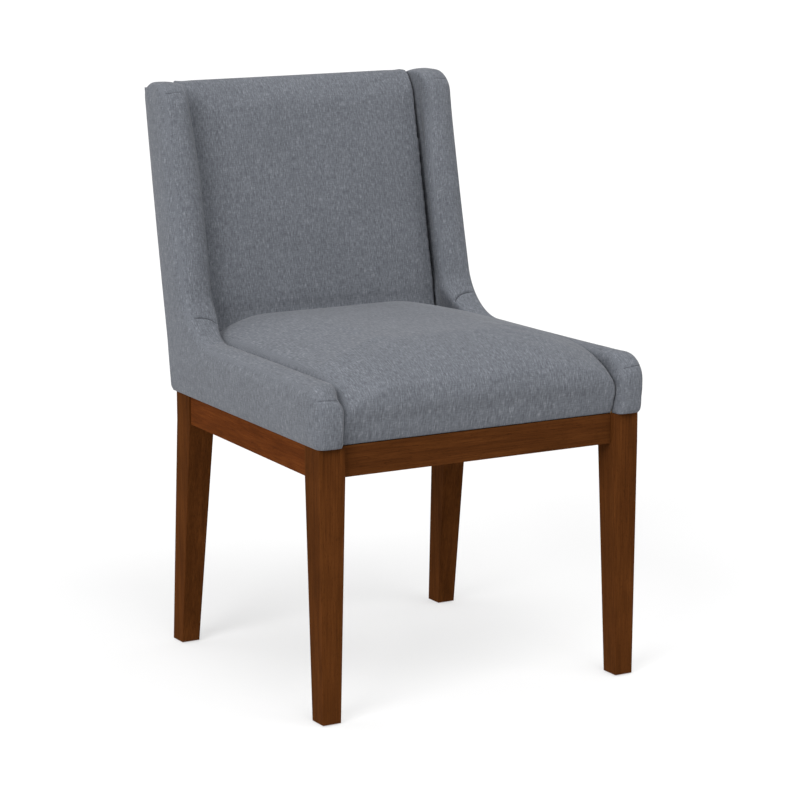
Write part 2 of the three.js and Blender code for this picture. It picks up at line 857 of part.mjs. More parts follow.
// Back frame: two rails between the wing cores, with upright webbing on their front faces
function backRail(z0, z1) {
  const limit = coreInnerX(0);
  const slab = acrossX(backShape(z0, z1, backFrameRear, backFrameFront), -limit, limit);
  const rear = rearLine(wingTop);
  const strip = planStrip(0, rear, frameLimit, z0 - overrun, z1 + overrun);
  return common(slab, strip);
}

const backLowerRailBottom = seatFrameTop + gap;
const backTopRailBottom = backTopRailTop - backRailHeight;
const backLowerRailTop = backLowerRailBottom + backRailHeight;
add('back_lower_rail', backRail(backLowerRailBottom, backLowerRailTop), plainWood);
add('back_top_rail', backRail(backTopRailBottom, backTopRailTop), plainWood);

const backStrapBottom = backLowerRailTop - strapLap;
const backStrapTop = backTopRailBottom + strapLap;
const backStrapPitch = (2 * frameLimit(rearLine(backTop))) / backStraps;
for (const i of indices(backStraps)) {
  const shape = backShape(backStrapBottom, backStrapTop, backStrapRear, backStrapFront);
  const geometry = acrossX(shape, -strapWidth / 2, strapWidth / 2);
  const strap = add(`back_webbing_${i + 1}`, geometry, darkWebbing);
  strap.position.set((i + 1 / 2 - backStraps / 2) * backStrapPitch, 0, 0);
}

// Back cushion: a gently crowned slab, rolled at its sides and over its top
function backForm(inset, bottom) {
  const top = backTop - inset;
  const crownStart = seatRearTop + backCrownRise;
  return formed(backSegments, (u, v, w) => {
    const z = lerp(bottom, top, (spread(w) + 1) / 2);
    const across = spread(u);
    const crownShare = clamp((z - crownStart) / (backTop - crownStart), 0, 1);
    const crown = backCrown * (1 - across ** 2) * Math.sin(Math.PI * crownShare);
    const topRoll = backTopRoll * roll((top - z) / backTopReach);
    const fromSide = (1 - Math.abs(across)) * panelInnerX(rearLine(z));
    const sideRoll = backEdgeRoll * roll(fromSide / backEdgeReach);
    const frontY = backFrontY(z) + inset - crown + topRoll + sideRoll;
    const y = lerp(frontY, rearLine(z) - backFrameRear, (v + 1) / 2);
    return new THREE.Vector3(across * (panelInnerX(y) - gap - inset), y, z);
  });
}

// The part of the cushion's form above a height and in front of a depth in the rear line
function backPadding(inset, depth, bottom) {
  const slab = backShape(bottom, wingTop + overrun, depth, depth + overrun);
  const limit = panelOuterX(0);
  return common(backForm(inset, frameTop), acrossX(slab, -limit, limit));
}

function insideBackCover() {
  const frameTool = backShape(frameTop, backTopRailTop + gap, -overrun, backStrapFront);
  const limit = panelOuterX(0);
  return cut(
    backForm(0, deckTop + gap),
    backPadding(backWall, backFrameFront - gap, frameTop),
    acrossX(frameTool, -limit, limit),
  );
}

const backFoam = backPadding(backWall + gap, backStrapFront + gap, deckTop + gap);
add('back_foam', backFoam, paleFoam);
add('inside_back_cover', insideBackCover(), wovenFabric);

// Outside back: a thin covered panel over the rear edges of the shell
function outsideBack() {
  const shape = backShape(shellBottom, wingTop - outsideBackTopDrop, 0, outsideBackThickness);
  const limit = panelOuterX(0);
  const edge = (y) => panelOuterX(y) - outsideBackInset;
  const strip = planStrip(0, rearLine(wingTop) + gap, edge, frameTop - gap, wingTop + gap);
  return common(acrossX(shape, -limit, limit), strip);
}

add('outside_back_panel', outsideBack(), wovenFabric);

// Dust cover: a thin cloth under the seat frame, cut round the corner blocks
function dustCoverEdge({ legX, legY, railY, inward }) {
  const railFace = railY + inward * gap;
  const clear = legX - blockReach - gap;
  const armEnd = legY + inward * (blockReach + gap);
  return [
    [clear, railFace],
    [clear, railFace + inward * (blockDepth + gap)],
    [sideRailInnerX(armEnd) - blockDepth - 2 * gap, armEnd],
    [sideRailInnerX(armEnd) - gap, armEnd],
  ];
}

function dustCover() {
  const right = [...dustCoverEdge(frontCorner), ...dustCoverEdge(rearCorner).reverse()];
  const left = right.map(([x, y]) => [-x, y]).reverse();
  return prism([...right, ...left], frameTop - dustCoverThickness, frameTop);
}

add('dust_cover', dustCover(), blackCloth);

// The origin is the centre of the chair's footprint box, on the floor
const bounds = new THREE.Box3().setFromObject(chair);
chair.position.y = -(bounds.min.y + bounds.max.y) / 2;

export default chair;
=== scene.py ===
# %% [markdown]
# An upholstered parsons chair
#
# The CAD model is the frame of this scene: every leg, rail, screw and strap is already in its
# place. This script gives those pieces their finishes, and puts padded forms in the place of
# the upholstery's plain solids. Everything is in metres, +Z is up, and the chair faces -Y.
# Left and right are as seen from the front.

# %% Load the frame
import json
import math
import bmesh
import bpy
import numpy as np
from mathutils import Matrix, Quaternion, Vector
from mathutils.bvhtree import BVHTree


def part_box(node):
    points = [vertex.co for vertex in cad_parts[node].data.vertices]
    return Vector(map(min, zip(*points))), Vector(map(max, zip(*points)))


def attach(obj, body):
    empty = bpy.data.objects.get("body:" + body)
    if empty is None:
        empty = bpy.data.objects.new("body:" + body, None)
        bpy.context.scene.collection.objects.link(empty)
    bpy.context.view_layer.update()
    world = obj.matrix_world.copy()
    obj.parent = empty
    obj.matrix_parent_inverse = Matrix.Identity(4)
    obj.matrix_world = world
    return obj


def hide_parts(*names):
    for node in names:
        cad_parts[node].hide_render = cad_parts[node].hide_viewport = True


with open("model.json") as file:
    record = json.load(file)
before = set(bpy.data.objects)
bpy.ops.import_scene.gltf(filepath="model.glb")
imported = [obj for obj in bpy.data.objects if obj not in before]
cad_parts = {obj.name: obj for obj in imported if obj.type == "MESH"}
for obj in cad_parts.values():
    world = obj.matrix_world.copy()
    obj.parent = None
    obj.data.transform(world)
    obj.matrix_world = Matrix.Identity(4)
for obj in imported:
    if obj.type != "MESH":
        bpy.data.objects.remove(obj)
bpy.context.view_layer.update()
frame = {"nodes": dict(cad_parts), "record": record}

MM = 0.001
nodes = frame["nodes"]

# %% [markdown]
# The camera
#
# The photograph was taken with a long lens from the left of the front, a little above the
# seat. The place, lens and tiny shift were solved from the corners of the legs and rails.

# %% Camera
CAMERA_PLACE = Vector((-2.05666, -3.61757, 1.20155))
CAMERA_TARGET = Vector((0, -0.04484, 0.37935))
CAMERA_ROLL = math.radians(-0.126)
CAMERA_SHIFT = (0.000975, -0.00026)
LENS_MM, SENSOR_MM = 134.58, 36


def add_object(name, data):
    made = bpy.data.objects.new(name, data)
    bpy.context.scene.collection.objects.link(made)
    return made


camera = add_object("camera", bpy.data.cameras.new("camera"))
camera.data.lens, camera.data.sensor_width = LENS_MM, SENSOR_MM
camera.data.shift_x, camera.data.shift_y = CAMERA_SHIFT
camera.data.clip_end = 100
camera.location = CAMERA_PLACE
camera.rotation_mode = "QUATERNION"
aim = (CAMERA_TARGET - CAMERA_PLACE).to_track_quat("-Z", "Y")
camera.rotation_quaternion = aim @ Quaternion((0, 0, 1), CAMERA_ROLL)
bpy.context.scene.camera = camera
print("camera distance in m:", round((CAMERA_TARGET - CAMERA_PLACE).length, 3))

# %% [markdown]
# Colour and node helpers
#
# Colours are written as sRGB hex values, as on a colour card. Blender works in linear light,
# so one function turns them. One small function adds a shader node with its settings and
# links, so that each material reads as a recipe.

# %% Helpers for colours and nodes
def linear(hex_colour):
    """A linear RGBA colour from an sRGB hex value."""
    shares = [int(hex_colour[i:i + 2], 16) / 255 for i in (1, 3, 5)]
    return [((c + 0.055) / 1.055) ** 2.4 if c > 0.04045 else c / 12.92 for c in shares] + [1]


def add_node(tree, kind, inputs=None, **settings):
    """A node with its settings. An input is a value, a socket, or a node's first output."""
    node = tree.nodes.new(kind)
    for name, value in settings.items():
        setattr(node, name, value)
    for key, value in (inputs or {}).items():
        value = value.outputs[0] if isinstance(value, bpy.types.Node) else value
        if isinstance(value, bpy.types.NodeSocket):
            tree.links.new(value, node.inputs[key])
        else:
            node.inputs[key].default_value = value
    return node


def set_ramp(node, stops):
    """Gives a Color Ramp its stops, as (position, hex colour or grey value)."""
    elements = node.color_ramp.elements
    while len(elements) < len(stops):
        elements.new(0.5)
    for element, (position, colour) in zip(elements, stops):
        element.position = position
        element.color = linear(colour) if isinstance(colour, str) else [colour] * 3 + [1]
    return node.outputs["Color"]


def new_material(name, even):
    """A node material whose shader already has its even values."""
    material = bpy.data.materials.new(name)
    material.use_nodes = True
    tree = material.node_tree
    tree.nodes.clear()
    shader = add_node(tree, "ShaderNodeBsdfPrincipled", even)
    add_node(tree, "ShaderNodeOutputMaterial", {"Surface": shader})
    return material, tree, shader


print("dark brown in linear light:", [round(c, 3) for c in linear("#5a3118")[:3]])

# %% [markdown]
# The studio
#
# The photograph has a pure white floor, with shadows so faint that the floor must glow by
# itself, like a light table, a sheet of milky acrylic lit from below. It gives off most of
# its white, and reflects the rest, which is where the soft shadows show. The chair is lit by
# large softboxes: the strongest on the left, weaker ones in front and high up, and two low
# ones behind, which brighten both rims. Very wide sun lamps stand for them, because their
# light is equally strong all over the floor.

# %% Studio light and floor
ROOM_STRENGTH = 0.02
# Degrees left of the front, above the floor and across, and strength
SOFTBOXES = {
    "left": (60, 30, 30, 0.80),
    "high_front": (20, 60, 30, 0.38),
    "front_right": (-20, 45, 50, 0.36),
    "high_right": (-60, 70, 50, 0.25),
    "high_rear": (180, 60, 50, 0.19),
    "rear_left": (130, 15, 50, 0.36),
    "rear_right": (-110, 15, 50, 0.21),
}
FLOOR_GLOW = 0.59
FLOOR_SIDE = 60
FLOOR_DROP = 0.2 * MM
ACRYLIC_GRAIN = 0.5 * MM

scene = bpy.context.scene
scene.view_settings.view_transform = "Standard"
room = bpy.data.worlds.new("white_room")
room.use_nodes = True
room_light = room.node_tree.nodes["Background"]
room_light.inputs["Color"].default_value = linear("#ffffff")
room_light.inputs["Strength"].default_value = ROOM_STRENGTH
scene.world = room


def softbox(name, left, rise, width, strength):
    """A very broad lamp. A white surface that faces it is as bright as its strength."""
    lamp = add_object(name, bpy.data.lights.new(name, "SUN"))
    lamp.data.energy = strength * math.pi
    left, rise, lamp.data.angle = (math.radians(turn) for turn in (left, rise, width))
    towards = Vector((-math.sin(left) * math.cos(rise), -math.cos(left) * math.cos(rise),
                      math.sin(rise)))
    lamp.rotation_mode = "QUATERNION"
    lamp.rotation_quaternion = (-towards).to_track_quat("-Z", "Y")
    return lamp


softboxes = [softbox(f"{side}_softbox", *values) for side, values in SOFTBOXES.items()]

floor_form = bmesh.new()
bmesh.ops.create_grid(floor_form, x_segments=1, y_segments=1, size=FLOOR_SIDE / 2)
bmesh.ops.translate(floor_form, verts=floor_form.verts, vec=(0, 0, -FLOOR_DROP))
floor_mesh = bpy.data.meshes.new("light_table")
floor_form.to_mesh(floor_mesh)
floor_form.free()
floor = add_object("light_table", floor_mesh)

acrylic, acrylic_tree, acrylic_shader = new_material("milky_acrylic", {
    "Base Color": linear("#989898"), "Roughness": 0.9, "Specular IOR Level": 0,
    "Emission Color": linear("#ffffff"), "Emission Strength": FLOOR_GLOW})
acrylic_grain = add_node(acrylic_tree, "ShaderNodeTexNoise", {"Scale": 1 / ACRYLIC_GRAIN})
acrylic_bump = add_node(acrylic_tree, "ShaderNodeBump", {
    "Strength": 0.05, "Distance": 0.1 * MM, "Height": acrylic_grain})
acrylic_tree.links.new(acrylic_bump.outputs["Normal"], acrylic_shader.inputs["Normal"])
floor_mesh.materials.append(acrylic)
print("softboxes:", len(softboxes))

# %% [markdown]
# Woven upholstery fabric
#
# The cover is a heathered linen-look weave of polyester: blue-grey yarns of slightly different
# shades, spun unevenly, which show as short light and dark dashes along the warp and fainter
# ones across it. It has no gloss, only a soft sheen of fibre ends. The real yarns are about
# 0.6 mm apart, too fine to show at this distance, so the weave is drawn at 1.3 mm. The
# pattern reads Object coordinates. The warp runs up the sides, and elsewhere up the front and
# back over the top, where height plus depth grows steadily along the cloth.

# %% Fabric material
YARN, WARP_DASH, WEFT_DASH = 1.3 * MM, 9 * MM, 6 * MM
SLUB_WIDTH, SLUB_LENGTH = YARN * 1.6, 30 * MM
CLOUD = 75 * MM
MULTIPLY = {"data_type": "RGBA", "blend_type": "MULTIPLY"}


def cloth_coordinates(tree):
    """Sockets with the place across and along the warp, mixed by which way a face looks."""
    place = add_node(tree, "ShaderNodeTexCoord").outputs["Object"]
    normal = add_node(tree, "ShaderNodeNewGeometry").outputs["Normal"]
    xyz = add_node(tree, "ShaderNodeSeparateXYZ", {0: place})
    facing = add_node(tree, "ShaderNodeSeparateXYZ", {0: normal})
    sideways = add_node(tree, "ShaderNodeMath", {0: facing.outputs["X"]}, operation="ABSOLUTE")
    side_share = add_node(tree, "ShaderNodeMapRange", {
        "Value": sideways, "From Min": 0.62, "From Max": 0.82})
    rise = add_node(tree, "ShaderNodeMath", {
        0: xyz.outputs["Y"], 1: xyz.outputs["Z"]}, operation="ADD")
    across = add_node(tree, "ShaderNodeMix", {
        "Factor": side_share, 2: xyz.outputs["X"], 3: xyz.outputs["Y"]})
    along = add_node(tree, "ShaderNodeMix", {
        "Factor": side_share, 2: rise, 3: xyz.outputs["Z"]})
    return place, across, along


def cloth_noise(tree, across, along, spacing, length, layer):
    """Noise stretched along the warp: one dash is spacing wide and length long."""
    u = add_node(tree, "ShaderNodeMath", {0: across, 1: 1 / spacing}, operation="MULTIPLY")
    v = add_node(tree, "ShaderNodeMath", {0: along, 1: 1 / length}, operation="MULTIPLY")
    vector = add_node(tree, "ShaderNodeCombineXYZ", {"X": u, "Y": v, "Z": layer})
    return add_node(tree, "ShaderNodeTexNoise", {
        "Vector": vector, "Scale": 1, "Detail": 2, "Roughness": 0.55})


def weighed(tree, *parts):
    """Patterns added up by their shares. Returns each step of the sum, the last one whole."""
    sums = [0.0]
    for pattern, share in parts:
        sums.append(add_node(tree, "ShaderNodeMath", {
            0: pattern, 1: share, 2: sums[-1]}, operation="MULTIPLY_ADD"))
    return sums


def give_relief(tree, shader, pattern, smooth, rough, height, strength, depth):
    """Roughness from smooth to rough by one pattern, and a bump of a depth by another."""
    matte = add_node(tree, "ShaderNodeMapRange", {
        "Value": pattern, "To Min": smooth, "To Max": rough})
    tree.links.new(matte.outputs[0], shader.inputs["Roughness"])
    bump = add_node(tree, "ShaderNodeBump", {
        "Strength": strength, "Distance": depth, "Height": height})
    tree.links.new(bump.outputs["Normal"], shader.inputs["Normal"])


def woven_fabric():
    material, tree, shader = new_material("heathered_woven_polyester", {
        "Specular IOR Level": 0.1, "Sheen Weight": 0.1, "Sheen Roughness": 0.45})
    place, across, along = cloth_coordinates(tree)
    warp = cloth_noise(tree, across, along, YARN, WARP_DASH, 3.1)
    weft = cloth_noise(tree, across, along, WEFT_DASH, YARN, 17.7)
    slub = cloth_noise(tree, across, along, SLUB_WIDTH, SLUB_LENGTH, 41.3)
    cloud = add_node(tree, "ShaderNodeTexNoise", {
        "Vector": place, "Scale": 1 / CLOUD, "Detail": 3})
    crossed, mixed = weighed(tree, (warp, 0.55), (weft, 0.27), (slub, 0.18))[2:]
    shades = set_ramp(add_node(tree, "ShaderNodeValToRGB", {0: mixed}), [
        (0.36, "#4e5056"), (0.46, "#5b5e64"), (0.54, "#63666c"), (0.66, "#7a7d83")])
    clouds = set_ramp(
        add_node(tree, "ShaderNodeValToRGB", {0: cloud}), [(0.3, 0.93), (0.7, 1.0)])
    tinted = add_node(tree, "ShaderNodeMix", {
        "Factor": 1.0, 6: shades, 7: clouds}, **MULTIPLY)
    # Painted shade: along the darts' folds the crease attribute mixes the cloth towards a dark
    # grey
    crease = add_node(tree, "ShaderNodeAttribute", attribute_name="crease")
    fold_shaded = add_node(tree, "ShaderNodeMix", {
        "Factor": crease.outputs["Fac"], 6: tinted.outputs[2], 7: linear("#2c2e33")},
        data_type="RGBA")
    tree.links.new(fold_shaded.outputs[2], shader.inputs["Base Color"])
    give_relief(tree, shader, warp, 0.82, 0.97, crossed, 0.5, 0.35 * MM)
    return material


fabric = woven_fabric()
print("fabric nodes:", len(fabric.node_tree.nodes))

# %% [markdown]
# Stained hardwood
#
# The legs and rails are a close-grained hardwood under a brown walnut stain and a satin
# lacquer. Stain soaks into the open grain, so the fine lines run dark, and the colour clouds
# gently over a hand's width. The grain follows each piece's length, so there is a material
# for pieces that stand, one for those that run across, and one for those that run back.
# The three differ a little in shade too: the side rails are painted lighter and redder, as
# painted light, and the front and rear rails a little darker, as painted shade.

# %% Wood materials
GRAIN_LINE, GRAIN_LENGTH = 1.5 * MM, 55 * MM
FIGURE_WIDTH, FIGURE_LENGTH = 11 * MM, 210 * MM
PORE_WIDTH, PORE_LENGTH = 0.9 * MM, 6 * MM
STAIN_CLOUD = 60 * MM
LINE_SHARE = 0.55
STAIN_STOPS = (0.36, 0.5, 0.64)
# One walnut stain; the side rails' shades are painted lighter and redder as painted light from
# the left lamp, and the front and rear rails' a little darker as painted shade
STAINS_AND_PAINTED_LIGHT = {
    "upright": ("#3f220d", "#492810", "#532f14"),
    "across": ("#3e210d", "#472710", "#512e14"),
    "lengthwise": ("#47240d", "#532a10", "#5e3214"),
}
PINE = ("#a9804d", "#c29b66", "#d0ad7b")
WOOD_TURNS = {
    "upright": (0, 0, 0),
    "across": (0, math.radians(90), 0),
    "lengthwise": (math.radians(90), 0, 0),
}


def grain_noise(tree, turned, width, length, detail, distortion=0.0):
    """Noise that is width wide across the grain and length long with it."""
    stretched = add_node(tree, "ShaderNodeMapping", {
        "Vector": turned, "Scale": (1 / width, 1 / width, 1 / length)})
    return add_node(tree, "ShaderNodeTexNoise", {
        "Vector": stretched, "Scale": 1, "Detail": detail, "Distortion": distortion})


def wood(name, run, shades, roughness, gloss):
    material, tree, shader = new_material(f"{name}_{run}", {
        "IOR": 1.5, "Specular IOR Level": gloss})
    place = add_node(tree, "ShaderNodeTexCoord").outputs["Object"]
    turned = add_node(tree, "ShaderNodeMapping", {
        "Vector": place, "Rotation": WOOD_TURNS[run]})
    line = grain_noise(tree, turned, GRAIN_LINE, GRAIN_LENGTH, 3)
    figure = grain_noise(tree, turned, FIGURE_WIDTH, FIGURE_LENGTH, 2, 0.6)
    pore = grain_noise(tree, turned, PORE_WIDTH, PORE_LENGTH, 1)
    cloud = grain_noise(tree, turned, STAIN_CLOUD, STAIN_CLOUD, 2)
    grained = weighed(tree, (line, LINE_SHARE), (figure, 1 - LINE_SHARE))[-1]
    stain = set_ramp(
        add_node(tree, "ShaderNodeValToRGB", {0: grained}), list(zip(STAIN_STOPS, shades)))
    pores = set_ramp(add_node(tree, "ShaderNodeValToRGB", {0: pore}), [(0.3, 0.72), (0.4, 1.0)])
    clouds = set_ramp(add_node(tree, "ShaderNodeValToRGB", {0: cloud}), [(0.3, 0.86), (0.7, 1.06)])
    pored = add_node(tree, "ShaderNodeMix", {"Factor": 1.0, 6: stain, 7: pores}, **MULTIPLY)
    clouded = add_node(tree, "ShaderNodeMix", {
        "Factor": 1.0, 6: pored.outputs[2], 7: clouds}, **MULTIPLY)
    tree.links.new(clouded.outputs[2], shader.inputs["Base Color"])
    give_relief(
        tree, shader, line, roughness - 0.06, roughness + 0.08, line, 0.25, 0.1 * MM)
    return material


stained_woods = {
    run: wood("walnut_stained_hardwood", run, STAINS_AND_PAINTED_LIGHT[run], 0.7, 0.006) for run in WOOD_TURNS}
plain_woods = {run: wood("planed_pine", run, PINE, 0.75, 0.2) for run in WOOD_TURNS}
print("stained woods:", sorted(m.name for m in stained_woods.values()))

# %% [markdown]
# The hidden materials
#
# What the covers hide has its own finish too: birch plywood with its layers, polyurethane
# foam with its open cells, ribbed polypropylene webbing, black spun cambric, zinc-plated
# steel and moulded nylon.

# %% Hidden materials
PLY, FOAM_CELL, RIB, CAMBRIC_FIBRE = 1.5 * MM, 1.4 * MM, 2.4 * MM, 0.9 * MM


def simple_finish(name, low, high, size, roughness, bump_mm, metallic=0.0, stretch=(1, 1, 1)):
    """A finish of two shades in an even grain of one size."""
    material, tree, shader = new_material(name, {"Metallic": metallic})
    place = add_node(tree, "ShaderNodeTexCoord").outputs["Object"]
    stretched = add_node(tree, "ShaderNodeMapping", {
        "Vector": place, "Scale": [s / size for s in stretch]})
    noise = add_node(tree, "ShaderNodeTexNoise", {"Vector": stretched, "Scale": 1, "Detail": 2})
    shades = set_ramp(
        add_node(tree, "ShaderNodeValToRGB", {0: noise}), [(0.35, low), (0.65, high)])
    tree.links.new(shades, shader.inputs["Base Color"])
    give_relief(
        tree, shader, noise, roughness - 0.08, roughness + 0.08, noise, 0.6, bump_mm * MM)
    return material


plywood = simple_finish(
    "birch_plywood", "#b98f5c", "#d9b98a", PLY, 0.75, 0.1, stretch=(1, 0.02, 0.02))
foam = simple_finish("cut_polyurethane_foam", "#cdbf94", "#e9e0c0", FOAM_CELL, 0.95, 0.5)
webbing = simple_finish(
    "ribbed_polypropylene_webbing", "#17171a", "#38383d", RIB, 0.8, 0.4, stretch=(1, 1, 0.3))
cambric = simple_finish("spun_black_cambric", "#101012", "#232327", CAMBRIC_FIBRE, 0.95, 0.15)
steel = simple_finish(
    "zinc_plated_steel", "#9a9da0", "#c2c5c8", 4 * MM, 0.38, 0.02, metallic=1.0)
nylon = simple_finish("moulded_black_nylon", "#151517", "#242427", 1.2 * MM, 0.55, 0.03)
print("all materials:", len(bpy.data.materials))

# %% [markdown]
# Finishes on the CAD pieces
#
# The rigid pieces keep their CAD shape, which is already right, and only get a finish. The
# record's slots say what each is made of, and its box says which way its grain runs.

# %% Finish the rigid pieces
slot_of = {s["node"]: s["material_slot"] for s in frame["record"]["subparts"]}
finishes = {
    "stained_wood": stained_woods, "plain_wood": plain_woods, "plywood": plywood,
    "foam": foam, "webbing": webbing, "dust_cloth": cambric, "zinc_steel": steel,
    "nylon": nylon, "woven_fabric": fabric,
}


def grain_run(name):
    """Which way a wooden piece's grain runs: along its longest side."""
    low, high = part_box(name)
    spans = [high[i] - low[i] for i in range(3)]
    return ("across", "lengthwise", "upright")[spans.index(max(spans))]


for name, node in nodes.items():
    finish = finishes[slot_of[name]]
    node.data.materials.clear()
    node.data.materials.append(finish[grain_run(name)] if isinstance(finish, dict) else finish)
print("front rail's grain runs", grain_run("front_rail"))

# %% [markdown]
# Lines that bound the upholstery
#
# Three lines of the shell decide where every cover ends: the two faces of a wing panel, which
# lean in towards the back, and the raked, slightly bowed rear line. They are written here
# once, and every cover is held against them. Depth starts at the legs' front faces.

# %% Lines of the shell
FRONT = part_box("front_right_leg")[0][1]
PANEL_OUTER = 256.05 * MM
PANEL_THICK = 43.5 * MM
PANEL_TURN = math.radians(2.1717)
SHELL_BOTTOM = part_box("right_wing_cover")[0][2]
SHELL_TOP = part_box("right_wing_cover")[1][2]
REAR_FOOT = 469 * MM
RAKE = math.radians(11.2)
REAR_BOW = 3 * MM
# The padding's bulge, by height, and before the rear line
BULGE = 8.5 * MM
BULGE_START, BULGE_HEIGHT = 452 * MM, 495 * MM
BULGE_FADE, BULGE_END = 660 * MM, 810 * MM
BULGE_BACK, BULGE_FULL = 40 * MM, 60 * MM
# The crease's dip, before the rear line, and by height
CREASE_DIP = 5 * MM
DIP_START, DIP_DEEP, DIP_FADE, DIP_END = 14 * MM, 34 * MM, 45 * MM, 62 * MM
DIP_FOOT, DIP_FULL = BULGE_HEIGHT - 10 * MM, BULGE_HEIGHT + 20 * MM
DIP_LOW, DIP_HIGH = 680 * MM, 770 * MM


def rear_line(height):
    """Depth of the shell's rear face at a height, from the legs' front faces."""
    rise = height - SHELL_BOTTOM
    share = rise / (SHELL_TOP - SHELL_BOTTOM)
    return REAR_FOOT + rise * math.tan(RAKE) + 4 * REAR_BOW * share * (1 - share)


def panel_outer(depth):
    """x of the right wing panel's outer face at a depth from the legs' front faces."""
    return PANEL_OUTER - depth * math.tan(PANEL_TURN)


def panel_inner(depth):
    return panel_outer(depth) - PANEL_THICK / math.cos(PANEL_TURN)


def ramp(value, start, end):
    """0 before start, 1 after end, and smooth between them."""
    share = np.clip((value - start) / (end - start), 0, 1)
    return share * share * (3 - 2 * share)


def inner_bulge(depth, height):
    """How far the padding bunches up on a wing's inner face, above the bend."""
    level = ramp(height, BULGE_START, BULGE_HEIGHT) * (1 - ramp(height, BULGE_FADE, BULGE_END))
    return BULGE * level * ramp(rear_line(height) - depth, BULGE_BACK, BULGE_FULL)


def crease_dip(depth, height):
    """How far the cover is pulled back on a wing's inner face, where the back meets it."""
    before = rear_line(height) - depth
    along = ramp(before, DIP_START, DIP_DEEP) * (1 - ramp(before, DIP_FADE, DIP_END))
    level = ramp(height, DIP_FOOT, DIP_FULL)
    return CREASE_DIP * along * level * (1 - ramp(height, DIP_LOW, DIP_HIGH))


print("rear line at the top, in mm:", round(rear_line(SHELL_TOP) / MM, 1))

# %% [markdown]
# From a plain solid to a padded form
#
# A real cover is sewn flat and pulled over foam, so its edges are soft and its faces swell a
# little between the places where it is stapled down. The recipe: close the plain form,
# remesh it into small even squares, and let a cloth simulation blow it up gently, while every
# point that touches wood or another cushion is held. A limit on each point's move keeps the
# chair's outline. One subdivision smooths the result, and last the pieces that the cover
# holds are carved out of it.

# %% Helpers for forms and objects
CLEARANCE = 0.35 * MM
MERGE = 0.01 * MM


def form_of(piece):
    form = bmesh.new()
    form.from_mesh(piece.data)
    return form


def node_form(name, grow=0.0):
    """A CAD node as a closed form, swollen by grow along its normals."""
    form = form_of(nodes[name])
    bmesh.ops.remove_doubles(form, verts=form.verts, dist=MERGE)
    form.normal_update()
    return grown(form, grow)


def grown(form, grow):
    moves = [(v, v.normal * grow * v.calc_shell_factor()) for v in form.verts]
    for vertex, move in moves:
        vertex.co += move
    return form


def block_form(low, high):
    """A plain block between two corners, as a tool to carve with."""
    form = bmesh.new()
    bmesh.ops.create_cube(form, size=1)
    size = Vector(high) - Vector(low)
    bmesh.ops.scale(form, verts=form.verts, vec=size)
    bmesh.ops.translate(form, verts=form.verts, vec=(Vector(low) + Vector(high)) / 2)
    return form


def object_from(form, name):
    """A new object from a bmesh, with every face smooth."""
    for face in form.faces:
        face.smooth = True
    mesh = bpy.data.meshes.new(name)
    form.to_mesh(mesh)
    form.free()
    return add_object(name, mesh)


def apply_modifiers(piece):
    """Makes the piece's modifiers real, so that its mesh is what shows."""
    evaluated = piece.evaluated_get(bpy.context.evaluated_depsgraph_get())
    mesh = bpy.data.meshes.new_from_object(evaluated)
    piece.modifiers.clear()
    piece.data = mesh
    return piece


def remeshed(piece, voxel):
    """Even small squares all over the piece, drawn back to the form that they started from."""
    form = add_object("form", piece.data.copy())
    remesh = piece.modifiers.new("Remesh", "REMESH")
    remesh.mode = "VOXEL"
    remesh.voxel_size = voxel
    remesh.use_smooth_shade = True
    wrap = piece.modifiers.new("Shrinkwrap", "SHRINKWRAP")
    wrap.target = form
    apply_modifiers(piece)
    bpy.data.objects.remove(form)
    return piece


def subdivided(piece):
    smooth = piece.modifiers.new("Subdivision", "SUBSURF")
    smooth.levels = smooth.render_levels = 1
    return apply_modifiers(piece)


def carved(piece, tools):
    """Cuts the tool forms out of the piece."""
    cutters = [object_from(form, "cutter") for form in tools]
    for cutter in cutters:
        cut = piece.modifiers.new("Boolean", "BOOLEAN")
        cut.operation = "DIFFERENCE"
        cut.solver = "MANIFOLD"
        cut.object = cutter
    apply_modifiers(piece)
    for cutter in cutters:
        bpy.data.objects.remove(cutter)
    return piece


print("clearance in mm:", round(CLEARANCE / MM, 2))

# %% Helpers for soft surfaces
SIM_FRAMES = 20
PRESSURE = 4


def points_of(piece, kind="co"):
    values = np.empty(len(piece.data.vertices) * 3)
    piece.data.vertices.foreach_get(kind, values)
    return values.reshape(-1, 3)


def normals_of(piece):
    return points_of(piece, "normal")


def set_points(piece, points):
    piece.data.vertices.foreach_set("co", points.ravel())
    piece.data.update()


def distance_to_path(points, path):
    """Distance of each point to a line through the path, and the share of the way along it."""
    best = np.full(len(points), np.inf)
    share = np.zeros(len(points))
    steps = len(path) - 1
    for index in range(steps):
        start, run = path[index], path[index + 1] - path[index]
        along = np.clip((points - start) @ run / (run @ run), 0, 1)
        gap = np.linalg.norm(points - (start + along[:, None] * run), axis=1)
        nearer = gap < best
        best[nearer] = gap[nearer]
        share[nearer] = ((index + along) / steps)[nearer]
    return best, share


def evened(piece, passes, freedom=None):
    """Smooths the free points, to take out the steps that the remesh leaves."""
    form = form_of(piece)
    form.verts.ensure_lookup_table()
    chosen = range(len(form.verts))
    if freedom:
        chosen = np.flatnonzero(freedom(points_of(piece), normals_of(piece)) > 0.5)
    loose = [form.verts[int(i)] for i in chosen]
    for _ in range(passes):
        bmesh.ops.smooth_vert(
            form, verts=loose, factor=0.5, use_axis_x=True, use_axis_y=True, use_axis_z=True)
    form.to_mesh(piece.data)
    form.free()


